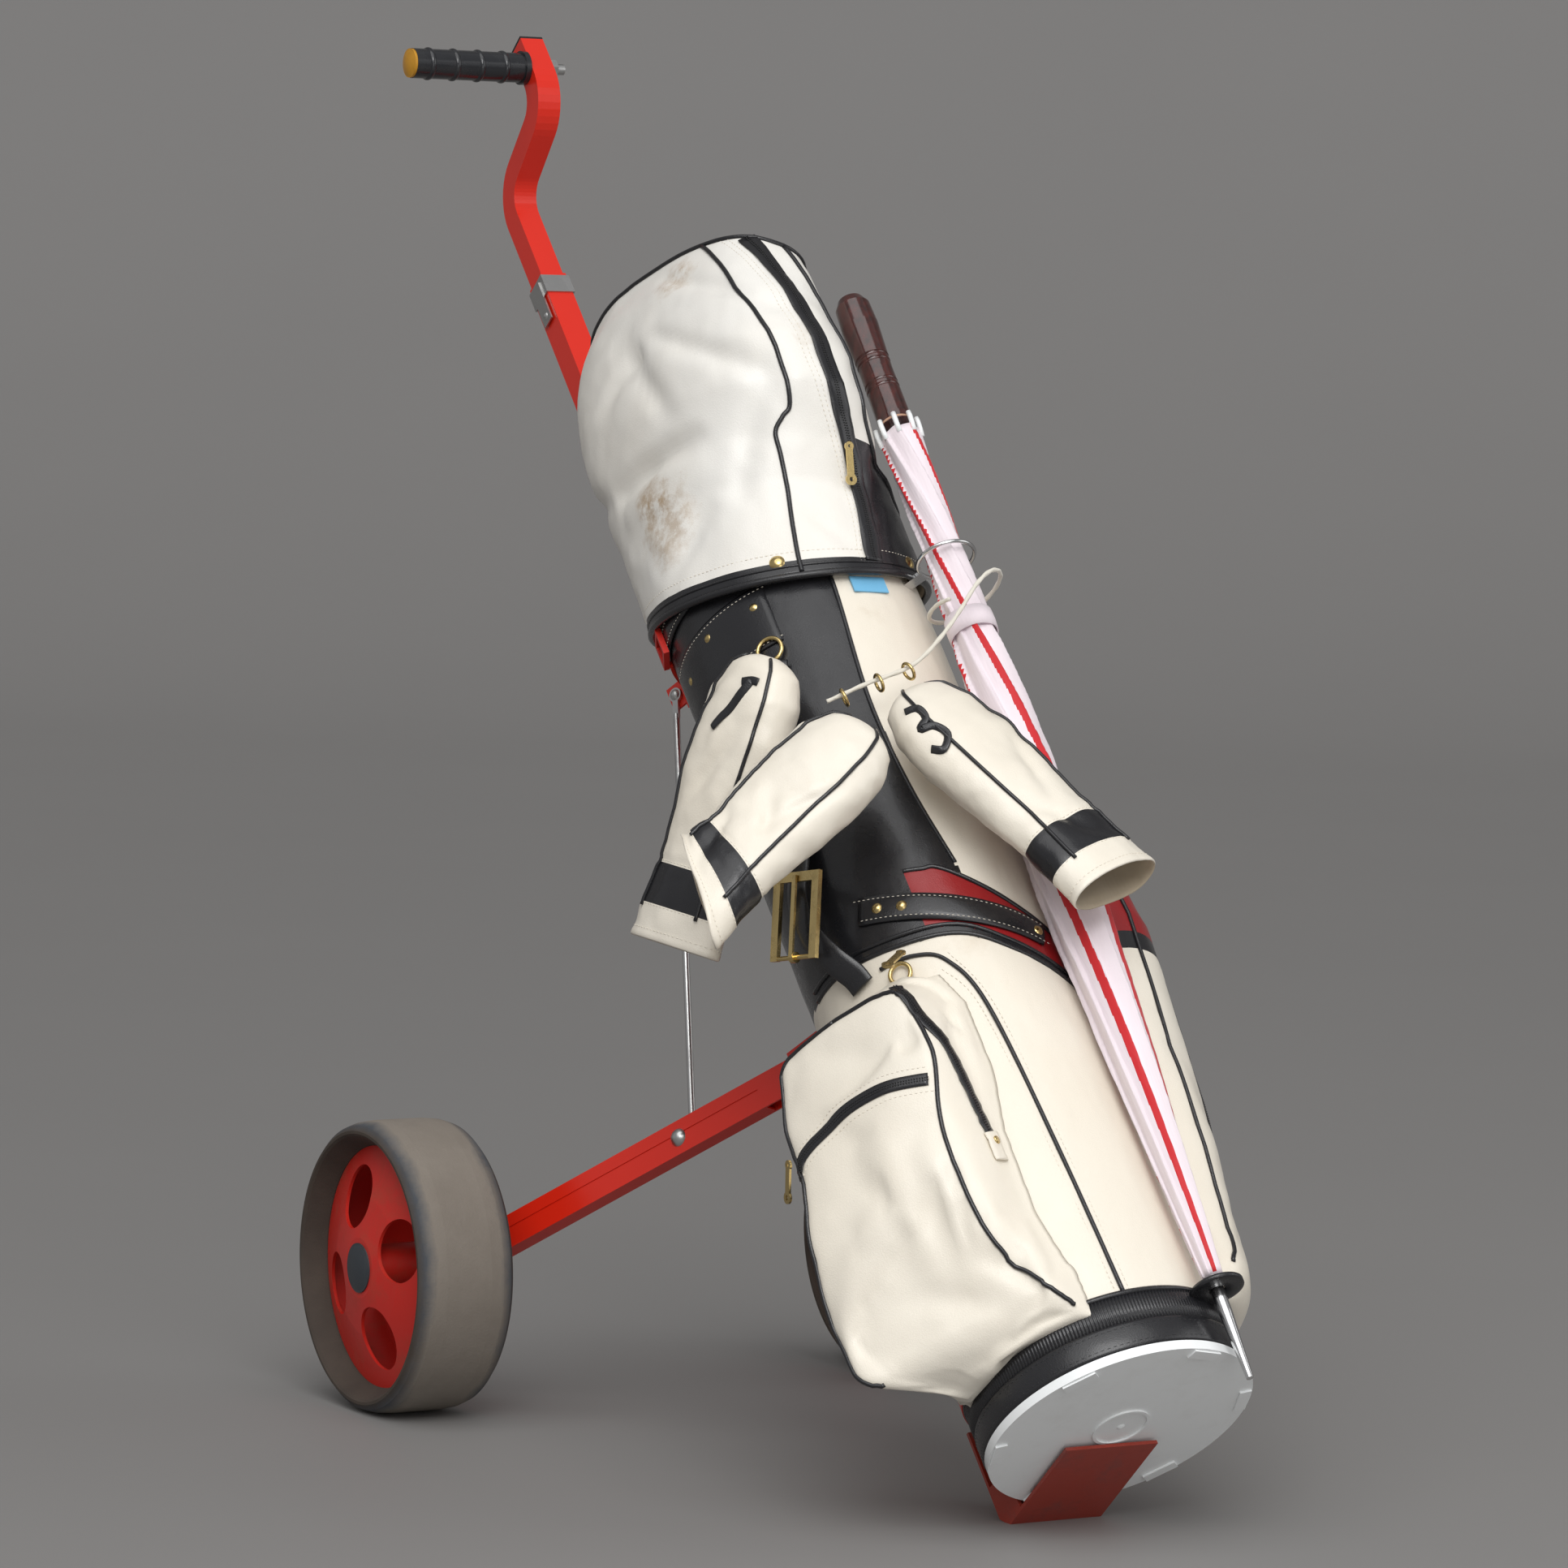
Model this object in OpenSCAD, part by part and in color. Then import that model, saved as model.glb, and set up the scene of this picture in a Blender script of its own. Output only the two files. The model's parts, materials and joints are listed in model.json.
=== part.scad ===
// Golf bag strapped on a two-wheeled pull cart, standing at rest on its foot and wheels.
// The cart stands on z = 0 with +Y towards the handle and +X to the right of someone pulling it.
// Most pieces are drawn in the "leaning" frame: its z runs up the cart's tube from the foot,
// its y points away from the bag, and the whole frame leans back by lean_angle.

/* [Stance] */
// Lean of the tube and bag back from vertical
lean_angle = 42; // [40:0.5:44]
// Distance from the foot's bend back to the wheel axle line
axle_y = 660; // [640:5:680]

/* [Wheels] */
// Outside diameter of the tyres
wheel_d = 254; // [244:2:264]
// Width of the tyres
tyre_w = 90; // [80:2:92]
// Distance from the cart's middle to each wheel's middle
wheel_x = 256; // [252:1:262]
// Radius of the dished rim plate
rim_r = 105; // [100:1:106]
// Diameter of the round windows in the rim plate
window_d = 55; // [45:1:58]

/* [Tube and handle] */
// Outside width of the square main tube
tube_w = 26; // [26:0.5:27]
// Wall of the square tubes
tube_wall = 1.5; // [1.2:0.1:2]
// Height of the main tube's mouth along the tube
tube_top = 1345; // [1330:5:1350]
// Radius of the two bends in the handle tube
bend_r = 36; // [34:1:37]
// Length of the grip
grip_len = 115; // [100:1:120]

/* [Legs] */
// Depth of a leg's rolled channel
leg_h = 30; // [28:1:32]
// Thickness of a leg's rolled channel
leg_t = 16; // [15:0.5:17]
// Diameter of the steel strut rods
rod_d = 6; // [5:0.5:7]

/* [Bag] */
// Outside diameter of the bag's barrel
bag_d = 217; // [215:1:218]
// Height of the bag's mouth along the tube
bag_top = 850; // [846:1:856]
// Thickness of the bag's stiffened wall
bag_wall = 5; // [4:0.5:6]
// Height of the hood's crown along the tube
hood_top = 1180; // [1150:5:1180]

/* [Umbrella] */
// Diameter of the umbrella's turned handle
umb_handle_d = 33; // [28:1:34]
// Diameter of the umbrella's shaft
umb_shaft_d = 11; // [9:0.5:12]

/* [Hidden] */
$fn = 64;
gap = 0.4;              // space between pieces that move past each other
bag_r = bag_d / 2;
bag_y = -129.5;         // bag axis in front of the foot's bend, leaning frame
tube_y = 23.6;          // tube centre behind the foot's bend, leaning frame
half_tube = tube_w / 2;
tube_foot = 38;         // lower end of the main tube
foot_w = 85;
foot_t = 3;             // thickness of the foot plate
foot_drop = 1.2;        // depth cut off level where the foot stands
foot_back = tube_y - half_tube - foot_drop * sin(lean_angle);   // back of the plate, in its own frame
wheel_r = wheel_d / 2;

// Handle tube: straight, bend forwards, short run, bend back up
handle_w = tube_w - 2 * tube_wall - 0.1;
handle_foot = 1060;
bend_z = 1420;
bend_a = 80;
grip_z = 1511;
handle_top = 1538;
grip_y = -84;
bend_step = bend_r * (1 - cos(bend_a));
run_len = (tube_y - grip_y - 2 * bend_step) / sin(bend_a);
bend_end_z = bend_z + 2 * bend_r * sin(bend_a) + run_len * cos(bend_a);
// Middle of the handle tube from the side: y, z and lean at each point
handle_mid = concat([[tube_y, handle_foot, 0]],
    [for (b = [0:8:bend_a]) [tube_y - bend_r * (1 - cos(b)), bend_z + bend_r * sin(b), b]],
    [for (b = [bend_a:-8:0]) [grip_y + bend_r * (1 - cos(b)), bend_end_z - bend_r * sin(b), b]],
    [[grip_y, handle_top, 0]]);
grip_r = 13.6;
grip_bore_r = 5;
grip_foot = handle_w / 2 + 0.2;   // inner end of the grip, out from the cart's middle

// Umbrella line in the leaning frame, from its lower end to the end of its handle
umb_top = [87, -265.5, 1065];
umb_low = [54, -242.5, 66];
umb_len = norm(umb_top - umb_low);
umb_dir = (umb_top - umb_low) / umb_len;
umb_azimuth = atan2(umb_dir[1], umb_dir[0]);
umb_tilt = acos(umb_dir[2]);
umb_tip_len = 92;
umb_tip_r = 3;
umb_ring_at = 715;
umb_canopy_len = 850;
// Furled canopy: distance from the lower end, radius
umb_profile = [[0, 9], [60, 13], [200, 21], [360, 27], [480, 29], [590, 26], [680, 20], [740, 19], [800, 20],
    [umb_canopy_len, 21]];

// Middle of the whole cart from front to back: handle bend at the back, umbrella tip in front
back_y = (tube_y - bend_r) * cos(lean_angle) + bend_z * sin(lean_angle) + bend_r + handle_w / 2;
umb_tip = umb_low - umb_tip_len * umb_dir;
front_y = (umb_tip[1] - umb_tip_r) * cos(lean_angle) + umb_tip[2] * sin(lean_angle);
mid_y = (back_y + front_y) / 2;

// Leg line: from the tube's side to the axle, and the pivots along it
axle_leaning = [axle_y * cos(lean_angle) - wheel_r * sin(lean_angle),
                axle_y * sin(lean_angle) + wheel_r * cos(lean_angle)];
leg_root = [-20, 22, 472];
leg_tip = [-198.8, axle_leaning[0], axle_leaning[1]];
leg_line = leg_tip - leg_root;
leg_len = norm(leg_line);
leg_end = leg_len - 6;
leg_azimuth = atan2(leg_line[1], leg_line[0]);
leg_rise = asin(leg_line[2] / leg_len);
pivot_at = 28;          // leg pivot along the leg line
rod_bolt_at = 169;      // strut bolt along the leg line
leg_bolt_r = 4;
axle_r = 6;
rod_plane = -leg_t / 2 - 4;   // struts run on the inner side of the legs
collar_z = 880;         // height of the strut ears
strut_top_out = 22;     // strut's upper pivot, out along the leg's azimuth
rod_tab = 18;           // flat end of a strut, long enough to turn past the collar's ear
bolt_out = rod_bolt_at * cos(leg_rise);
bolt_up = leg_root[2] + rod_bolt_at * sin(leg_rise);
rod_lean = atan2(bolt_out - strut_top_out, collar_z - bolt_up);
rod_len = norm([bolt_out - strut_top_out, collar_z - bolt_up]);

// Hood sections: height, centre x, centre y, half width, half depth, narrowing towards the front
hood_rim = 778;
hood_rings = [
    [hood_rim, 0, bag_y, 117, 117, 0],
    [868, 0, bag_y - 7, 117, 125, 0.06],
    [935, -6, bag_y - 28, 114, 146, 0.3],
    [1000, -8, bag_y - 32, 108, 144, 0.34],
    [1060, -5, bag_y - 36, 100, 128, 0.26],
    [1110, 0, bag_y - 34, 80, 112, 0.1],
    [hood_top - 18, 0, bag_y - 20, 62, 78, 0],
    [hood_top, 0, bag_y - 12, 40, 48, 0]];

// Ball pocket sections: height, middle angle round the bag, half angle, inner and outer radius
pocket_rings = [
    [74, -68, 30, 174],
    [90, -70, 35, 188],
    [150, -72, 37, 200],
    [230, -72, 38, 203],
    [300, -71, 37, 196],
    [350, -68, 33, 180],
    [382, -66, 26, 150]];

// Garment pocket sections, on the other side of the bag
garment_rings = [
    [66, 76, 33, 134],
    [95, 77, 34, 143],
    [130, 88, 41, 150],
    [260, 90, 45, 170],
    [430, 90, 45, 186],
    [560, 90, 42, 176],
    [650, 90, 36, 162],
    [690, 90, 26, 136]];

// Head cover sections: distance from the tip, half width, half thickness
cover_rings_list = [[0, 16, 12], [10, 32, 20], [35, 45, 27], [75, 49, 29], [120, 46, 27], [170, 43, 24],
    [250, 48, 22]];
cover_wall = 3;
cover_len = 250;
cover_2_cut = [0.06, 0.32];   // the second cover's mouth is cut slantwise
strap_t = 2.6;
cover_3_to = [57, -323, 389];
cover_3_tip = [-29, -277, 621];
cover_2_to = [-234, -221, 483];
cover_2_tip = [-90, -291, 575];
cover_1_to = [-186, -76, 537];
cover_1_tip = [-114, -236, 695];

// Shoulder strap route: angle round the bag, height, radius
strap_route = [[-50, 716, 112.2], [-54, 690, 112.2], [-58, 650, 112.2], [-62, 610, 112.2], [-67, 570, 113],
    [-72, 535, 118], [-75, 510, 126], [-76, 485, 131], [-75, 460, 130], [-72, 436, 124], [-69, 418, 115],
    [-68, 406, 111]];

// Belt that drops as it goes round to the right
function belt_height(a) = 467 - (a + 57) * 0.78;

// Rivets: angle round the bag, height, distance of the seat off the barrel
rivets = [[-50, 777, 0], [-77, 781, 0], [-69, 744, 0], [-100, 770, 0],
    [-49, belt_height(-49), 3.1], [-39, belt_height(-39), 3.1], [17, belt_height(17), 3.1]];

// Knotted string from the head cover rings up round the umbrella, in the leaning frame
string_route = [[-84, -246, 640], [-72, -254, 641], [-58, -262, 643], [-44, -268, 645], [-30, -271, 648],
    [-16, -274, 652], [0, -278, 660], [16, -284, 672], [32, -290, 686], [46, -296, 700], [58, -300, 713],
    [70, -302, 724], [84, -300, 734], [98, -292, 741], [108, -279, 745], [111, -263, 746], [107, -247, 745],
    [97, -234, 743], [83, -227, 740], [67, -228, 737], [54, -237, 734], [48, -250, 731], [48, -264, 728],
    [50, -278, 722]];

// ---- frames of reference ----

// The leaning frame
module leaning() translate([0, -mid_y, 0]) rotate([-lean_angle, 0, 0]) children();
// The upright frame, measured from the foot's bend
module upright() translate([0, -mid_y, 0]) children();
// Either the left side of the cart or its mirror image
module side(right) mirror([right ? 1 : 0, 0, 0]) children();
// x along the left leg from its root, z up across it, y towards the outside
module along_leg() translate(leg_root) rotate([0, 0, leg_azimuth]) rotate([0, -leg_rise, 0]) children();
// x out along the left leg's azimuth, z up the tube
module beside_leg() translate([leg_root[0], leg_root[1], 0]) rotate([0, 0, leg_azimuth]) children();
// Left wheel: z along its axle, outwards
module at_wheel() upright() translate([-wheel_x, axle_y, wheel_r]) rotate([0, -90, 0]) children();
// On the bag's side: -y outwards, x round the bag to the right, z up the bag
module on_bag(angle, height, r)
    translate([0, bag_y, height]) rotate([0, 0, angle]) translate([0, -r, 0]) children();
// z along the umbrella, from its lower end
module along_umbrella() translate(umb_low) rotate([0, 0, umb_azimuth]) rotate([0, umb_tilt, 0]) children();

// ---- shared shapes ----

module square_tube(w, wall, len) difference() {
    translate([-w / 2, -w / 2, 0]) cube([w, w, len]);
    translate([wall - w / 2, wall - w / 2, -1]) cube([w - 2 * wall, w - 2 * wall, len + 2]);
}

// Flat band round the bag, centred on the given angle
module bag_band(angle, half_angle, r, thick, height)
    rotate([0, 0, angle - half_angle - 90]) rotate_extrude(angle = 2 * half_angle, $fn = 96)
        translate([r, 0]) square([thick, height]);

// Ring-shaped wire: radius of the ring and of its wire
module wire_ring(r, wire) rotate_extrude($fn = 32) translate([r, 0]) circle(wire, $fn = 16);

// Dome-headed rivet or bolt head, dome towards +z
module dome(r, h) intersection() {
    translate([0, 0, h - (r * r + h * h) / (2 * h)]) sphere((r * r + h * h) / (2 * h), $fn = 48);
    cylinder(h = h + 1, r = r + 1);
}

// Closed skin through rings of points that all have the same count
module skin(rings) {
    n = len(rings[0]);
    last = len(rings) - 1;
    polyhedron(points = [for (ring = rings) each ring], faces = concat(
        [[for (i = [0:n - 1]) i]],
        [for (k = [0:last - 1]) for (i = [0:n - 1]) each [
            [k * n + i, (k + 1) * n + i, (k + 1) * n + (i + 1) % n],
            [k * n + i, (k + 1) * n + (i + 1) % n, k * n + (i + 1) % n]]],
        [[for (i = [n - 1:-1:0]) last * n + i]]), convexity = 6);
}

function unit(v) = v / norm(v);
// Turns to the three given directions and moves to a point
module turned(x, y, z, at) multmatrix([for (i = [0:2]) [x[i], y[i], z[i], at[i]]]) children();
function on_barrel(angle, height, r) = [r * sin(angle), bag_y - r * cos(angle), height];

// Frame across a route at point k: direction, side and normal
function route_dir(p, k) = unit(p[min(k + 1, len(p) - 1)] - p[max(k - 1, 0)]);

// Round cord swept along a route of points
function cord_ring(p, k, r, sides) = let (
    d = route_dir(p, k),
    u = unit(cross(d, [0.13, 0.21, 1])),
    v = cross(d, u))
    [for (i = [0:sides - 1]) p[k] + r * (cos(i * 360 / sides) * u + sin(i * 360 / sides) * v)];
module cord(p, r, sides) skin([for (k = [0:len(p) - 1]) cord_ring(p, k, r, sides)]);

// Flat strap swept along a route round the bag, face outwards
function strap_ring(p, k, w, t) = let (
    d = route_dir(p, k),
    out = unit([p[k][0], p[k][1] - bag_y, 0]),
    u = unit(cross(d, out)),
    n = cross(u, d))
    [p[k] - u * w / 2, p[k] + u * w / 2, p[k] + u * w / 2 + n * t, p[k] - u * w / 2 + n * t];
module strap(p, w, t) skin([for (k = [0:len(p) - 1]) strap_ring(p, k, w, t)]);

// ---- cart frame ----

module main_tube() color("red") leaning() translate([0, tube_y, tube_foot])
    square_tube(tube_w, tube_wall, tube_top - tube_foot);

module foot_bracket() color("firebrick") upright() difference() {
    translate([0, 0, -foot_drop]) rotate([-lean_angle, 0, 0]) {
        rotate([90, 0, 90]) translate([0, 0, -foot_w / 2]) linear_extrude(foot_w)
            polygon([[0, 0], [-110, 0], [-110, foot_t], [-1.5, foot_t], [foot_back - foot_t, 14],
                [foot_back - foot_t, 92], [foot_back, 92], [foot_back, 12]]);
        for (x = [-foot_w / 2, foot_w / 2 - foot_t]) translate([x, 0, 0]) rotate([90, 0, 90])
            linear_extrude(foot_t)
                polygon([[-23, foot_t - 0.1], [-20, 36], [foot_back - 2, 40], [foot_back, 12], [0, 0]]);
    }
    translate([-60, -120, -40]) cube([120, 200, 40]);
}

// Cradle band round the back of the bag with a web to the face behind it
module cradle(z, h, half_angle, web_y) color("red") leaning() {
    translate([0, bag_y, z]) bag_band(180, half_angle, bag_r + gap, 3, h);
    translate([-8, bag_y + bag_r + 3, z]) cube([16, web_y - bag_y - bag_r - 3, h]);
}
module lower_cradle() cradle(63, 30, 68, tube_y - half_tube - foot_t);
module upper_cradle() cradle(818, 22, 58, tube_y - half_tube);

// Saddle on the tube with an ear for each leg
module hub_bracket() color("red") leaning() {
    difference() {
        translate([-half_tube - 2.5, tube_y - half_tube - 2.5, 436]) cube([tube_w + 5, tube_w + 5, 74]);
        translate([-half_tube, tube_y - half_tube, 430]) cube([tube_w, tube_w, 90]);
    }
    for (right = [false, true]) side(right) difference() {
        beside_leg() translate([-11, -1.75, 444]) cube([52, 3.5, 58]);
        along_leg() translate([pivot_at, 0, 0]) rotate([90, 0, 0])
            cylinder(h = 20, r = leg_bolt_r, center = true);
    }
}

// Leg pivot bolts and the slider's stop bolt
module frame_bolts() color("silver") leaning() {
    for (right = [false, true]) side(right) along_leg() translate([pivot_at, 0, 0]) rotate([90, 0, 0]) {
        cylinder(h = leg_t + 3, r = leg_bolt_r, center = true);
        translate([0, 0, leg_t / 2 + 1]) cylinder(h = 5, r = 7, $fn = 6);
        translate([0, 0, -leg_t / 2 - 1]) rotate([180, 0, 0]) dome(8, 5);
    }
    for (x = [-1, 1]) translate([x * half_tube, tube_y, collar_z + 27]) rotate([0, x * 90, 0]) {
        cylinder(h = 3, r = 6.5, $fn = 6);
        translate([0, 0, 3]) dome(4, 2);
    }
}

// Spring clip round the tube's mouth with a riveted tail
module tube_clip() color("silver") leaning() {
    difference() {
        translate([-half_tube - 1.5, tube_y - half_tube - 1.5, tube_top - 24])
            cube([tube_w + 3, tube_w + 3, 20]);
        translate([-half_tube, tube_y - half_tube, tube_top - 30]) cube([tube_w, tube_w, 40]);
    }
    translate([-half_tube - 3, tube_y - 8, tube_top - 50]) cube([1.5, 16, 42]);
    translate([-half_tube - 3, tube_y, tube_top - 42]) rotate([0, -90, 0]) dome(4, 2);
}

// Slider under the stop bolt: wraps the tube's back and sides, with a strut ear each side
module slider_collar() color("red") leaning() {
    difference() {
        translate([-half_tube - 3, tube_y - half_tube + 2, collar_z - 20]) cube([tube_w + 6, tube_w + 1, 40]);
        translate([-half_tube - 0.1, tube_y - half_tube - 1, collar_z - 25])
            cube([tube_w + 0.2, tube_w + 1.1, 50]);
    }
    for (right = [false, true]) side(right) beside_leg()
        translate([10.5, rod_plane - 1.5 - gap - 2.4, collar_z - 12]) cube([20, 2.4, 24]);
}

// ---- handle ----

function handle_side(half) = [for (q = handle_mid) [q[0] + half * cos(q[2]), q[1] + half * sin(q[2])]];
function reversed(p) = [for (i = [len(p) - 1:-1:0]) p[i]];
module handle_bar(w, over) rotate([90, 0, 90]) translate([0, 0, -w / 2]) linear_extrude(w)
    polygon(concat(
        [[tube_y + w / 2, handle_foot - over]], handle_side(w / 2), [[grip_y + w / 2, handle_top + over]],
        [[grip_y - w / 2, handle_top + over]], reversed(handle_side(-w / 2)),
        [[tube_y - w / 2, handle_foot - over]]));
module handle_tube() color("red") leaning() difference() {
    handle_bar(handle_w, 0.01);
    handle_bar(handle_w - 2 * tube_wall, 1);
    translate([0, grip_y, grip_z]) rotate([0, 90, 0])
        cylinder(h = 40, r = grip_bore_r, center = true);
}

module tube_end_cap() color("black") leaning() {
    translate([-handle_w / 2, grip_y - handle_w / 2, handle_top]) cube([handle_w, handle_w, 2.4]);
    translate([tube_wall - handle_w / 2, grip_y + tube_wall - handle_w / 2, handle_top - 7])
        cube([handle_w - 2 * tube_wall, handle_w - 2 * tube_wall, 7]);
}

// Grip with a collar at its inner end and four ridges between the fingers
module handle_grip() color("black") leaning() translate([-grip_foot, grip_y, grip_z]) rotate([0, -90, 0])
    difference() {
        union() {
            cylinder(h = grip_len, r = grip_r);
            cylinder(h = 5, r = grip_r + 1.9);
            for (k = [0:3]) translate([0, 0, 24 + 25 * k]) rotate_extrude()
                translate([grip_r - 2, 0]) circle(3.4, $fn = 24);
        }
        translate([0, 0, -1]) cylinder(h = grip_len + 2, r = grip_bore_r);
    }

module grip_end_cap() color("goldenrod") leaning()
    translate([-grip_foot - grip_len, grip_y, grip_z]) rotate([0, -90, 0]) {
        cylinder(h = 2.5, r = grip_r - 0.4);
        translate([0, 0, 2.5]) dome(grip_r - 1, 2.4);
    }

module grip_bolt() color("silver") leaning() translate([0, grip_y, grip_z]) {
    rotate([0, -90, 0]) translate([0, 0, -28]) cylinder(h = 28 + handle_w / 2 + grip_len, r = grip_bore_r);
    translate([handle_w / 2, 0, 0]) rotate([0, 90, 0]) cylinder(h = 8, r = 9, $fn = 6);
}

// ---- legs, struts and wheels ----

module leg(right) color("red") side(right) difference() {
    leaning() along_leg() difference() {
        translate([pivot_at - 12, -leg_t / 2, -leg_h / 2]) cube([leg_end - pivot_at + 12, leg_t, leg_h]);
        translate([pivot_at - 20, 2 - leg_t / 2, 2 - leg_h / 2]) cube([leg_len, leg_t - 4, leg_h - 4]);
        // root cut back at top and bottom so that the leg folds round the hub's ear
        translate([pivot_at - 20, 2 - leg_t / 2, -leg_h]) cube([66, leg_t - 4, 2 * leg_h]);
        // pressed groove along the outer face
        translate([pivot_at + 50, leg_t / 2 - 0.8, 2]) cube([leg_end - pivot_at - 90, 2, 1.6]);
        translate([pivot_at, 0, 0]) rotate([90, 0, 0]) cylinder(h = 40, r = leg_bolt_r + 0.05, center = true);
        translate([rod_bolt_at, 0, 0]) rotate([90, 0, 0]) cylinder(h = 40, r = leg_bolt_r, center = true);
    }
    at_wheel() cylinder(h = 200, r = axle_r, center = true);
}

// Strut bolt through the leg and clamp bolt of the axle bracket
module leg_bolts(right) color("silver") leaning() side(right) along_leg() {
    translate([rod_bolt_at, leg_t / 2, 0]) rotate([-90, 0, 0]) dome(8, 5);
    translate([rod_bolt_at, leg_t / 2, 0]) rotate([90, 0, 0]) cylinder(h = leg_t + 9, r = leg_bolt_r);
    translate([rod_bolt_at, -leg_t / 2 - 5.8, 0]) rotate([90, 0, 0]) cylinder(h = 3.4, r = 7, $fn = 6);
    translate([leg_end - 24, leg_t / 2 + 2.5, 0]) rotate([-90, 0, 0]) dome(7, 4.5);
}

// U-shaped bracket over the leg's end that carries the stub axle
module axle_bracket(right) color("red") side(right) difference() {
    union() {
        leaning() along_leg() translate([leg_end - 38, -leg_t / 2 - 2.5, -leg_h / 2 - 2.5])
            cube([44, leg_t + 5, leg_h + 5]);
        at_wheel() translate([0, 0, -56.5]) cylinder(h = 9.5, r = 15);
    }
    leaning() along_leg() translate([leg_end - 45, -leg_t / 2, -leg_h / 2]) cube([45, leg_t, leg_h]);
    at_wheel() cylinder(h = 200, r = axle_r, center = true);
}

module axle(right) color("silver") side(right) at_wheel() {
    translate([0, 0, -56.5]) cylinder(h = 91, r = axle_r);
    translate([0, 0, 34.4]) cylinder(h = 3.2, r = 9);
}

// Strut rod with a flattened eye at the leg and a riveted tab at the collar
module rod(right) color("silver") leaning() side(right) beside_leg()
    translate([bolt_out, rod_plane, bolt_up]) rotate([0, -rod_lean, 0]) {
        difference() {
            union() {
                rotate([90, 0, 0]) cylinder(h = 3, r = 9, center = true);
                translate([-rod_d / 2, -1.5, 0]) cube([rod_d, 3, 16]);
                translate([0, 0, 12]) cylinder(h = rod_len - 12 - rod_tab, r = rod_d / 2);
            }
            rotate([90, 0, 0]) cylinder(h = 20, r = leg_bolt_r + 0.05, center = true);
        }
        translate([0, 0, rod_len]) rotate([90, 0, 0]) cylinder(h = 3, r = 6.5, center = true);
        translate([-rod_d / 2, -1.5, rod_len - rod_tab - 4]) cube([rod_d, 3, rod_tab]);
        translate([0, 1.5, rod_len]) rotate([-90, 0, 0]) dome(5, 3);
    }

// Dished rim plates with four round windows, a hub barrel and a band under the tyre
module rim(right) color("red") side(right) at_wheel() difference() {
    rotate_extrude($fn = 96) polygon([[7.5, -44], [20, -44], [20, 38], [26, 41], [60, 34], [90, 25],
        [rim_r - 3, 21], [rim_r - 3, -21], [90, -25], [20, -34], [20, -37], [90, -28], [rim_r, -24],
        [rim_r, 24], [90, 28], [60, 37], [26, 44], [7.5, 44]]);
    for (k = [0:3]) rotate([0, 0, 20.5 + 90 * k]) translate([63, 0, 0])
        cylinder(h = 120, r = window_d / 2, center = true);
    translate([0, 0, 34]) cylinder(h = 20, r = 15);
    cylinder(h = 120, r = axle_r + 0.05, center = true);
}

module tyre(right) color("dimgray") side(right) at_wheel() rotate_extrude($fn = 128) {
    w = tyre_w / 2;
    r = wheel_r;
    half = [[r - 13, w - 2], [r - 11, w], [r - 8.5, w], [r - 4, w - 4], [r - 1.2, w - 12], [r, w - 24]];
    polygon(concat([[rim_r, -25], [rim_r, 25]], half, [for (i = [5:-1:0]) [half[i][0], -half[i][1]]]));
}

module hub_cap(right) color("darkslategray") side(right) at_wheel() {
    translate([0, 0, 38.2]) cylinder(h = 5.8, r = 15);
    translate([0, 0, 44]) cylinder(h = 1.2, r = 21.5);
    translate([0, 0, 45.2]) dome(20, 2.5);
}

// ---- straps that hold the bag's top ----

module upper_strap() color("black") leaning()
    translate([0, bag_y, 819]) bag_band(0, 119, bag_r + gap, strap_t, 20);

module upper_strap_buckle() color("red") leaning() on_bag(-114, 827, bag_r + gap + 3) difference() {
    translate([-13, -5, -13]) cube([26, 5, 26]);
    translate([-8.5, -10, -9]) cube([17, 20, 18]);
}

// ---- bag ----

module bag_body() color("ivory") leaning() translate([0, bag_y, 0]) difference() {
    translate([0, 0, 22]) cylinder(h = bag_top - 22, r = bag_r, $fn = 96);
    translate([0, 0, 30]) cylinder(h = bag_top, r = bag_r - bag_wall, $fn = 96);
}

// Moulded base cup with rim blocks, a raised ring and a pip
module base_cup() color("whitesmoke") leaning() translate([0, bag_y, 0]) {
    translate([0, 0, 5]) cylinder(h = 17, r = bag_r - 0.5, $fn = 96);
    difference() {
        translate([0, 0, 5]) cylinder(h = 8, r = bag_r + 2, $fn = 96);
        translate([0, 0, 4]) cylinder(h = 10, r = bag_r - 1, $fn = 96);
    }
    for (k = [0:5]) rotate([0, 0, 15 + 60 * k]) translate([-14, bag_r - 10, 3.2]) cube([28, 10, 4]);
    translate([0, 0, 3.4]) difference() {
        cylinder(h = 3, r = 24);
        translate([0, 0, -1]) cylinder(h = 5, r = 21.5);
    }
    translate([0, 0, 5.5]) rotate([180, 0, 0]) dome(4, 2);
}

module base_collar() color("black") leaning() translate([0, bag_y, 0]) difference() {
    translate([0, 0, 13.2]) cylinder(h = 48, r = bag_r + 2, $fn = 96);
    translate([0, 0, 12]) cylinder(h = 50, r = bag_r, $fn = 96);
}

// Stiffening ring inside the bag's mouth
module mouth_ring() color("black") leaning() translate([0, bag_y, bag_top - 34]) difference() {
    cylinder(h = 30, r = bag_r - bag_wall, $fn = 96);
    translate([0, 0, -1]) cylinder(h = 32, r = bag_r - bag_wall - 3, $fn = 96);
}

// Pouch that stands off the barrel between two angles
function pouch_ring(s) = let (
    half = s[2], out = s[3], steps = 12, inner = (bag_r + gap) / cos(half / steps))
    concat(
        [for (i = [0:steps]) let (a = -1 + 2 * i / steps)
            on_barrel(s[1] + half * a, s[0], inner + (out - inner) * pow(max(0, 1 - pow(abs(a), 4)), 0.5))],
        [for (i = [steps - 1:-1:1]) let (a = -1 + 2 * i / steps) on_barrel(s[1] + half * a, s[0], inner)]);
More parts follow.
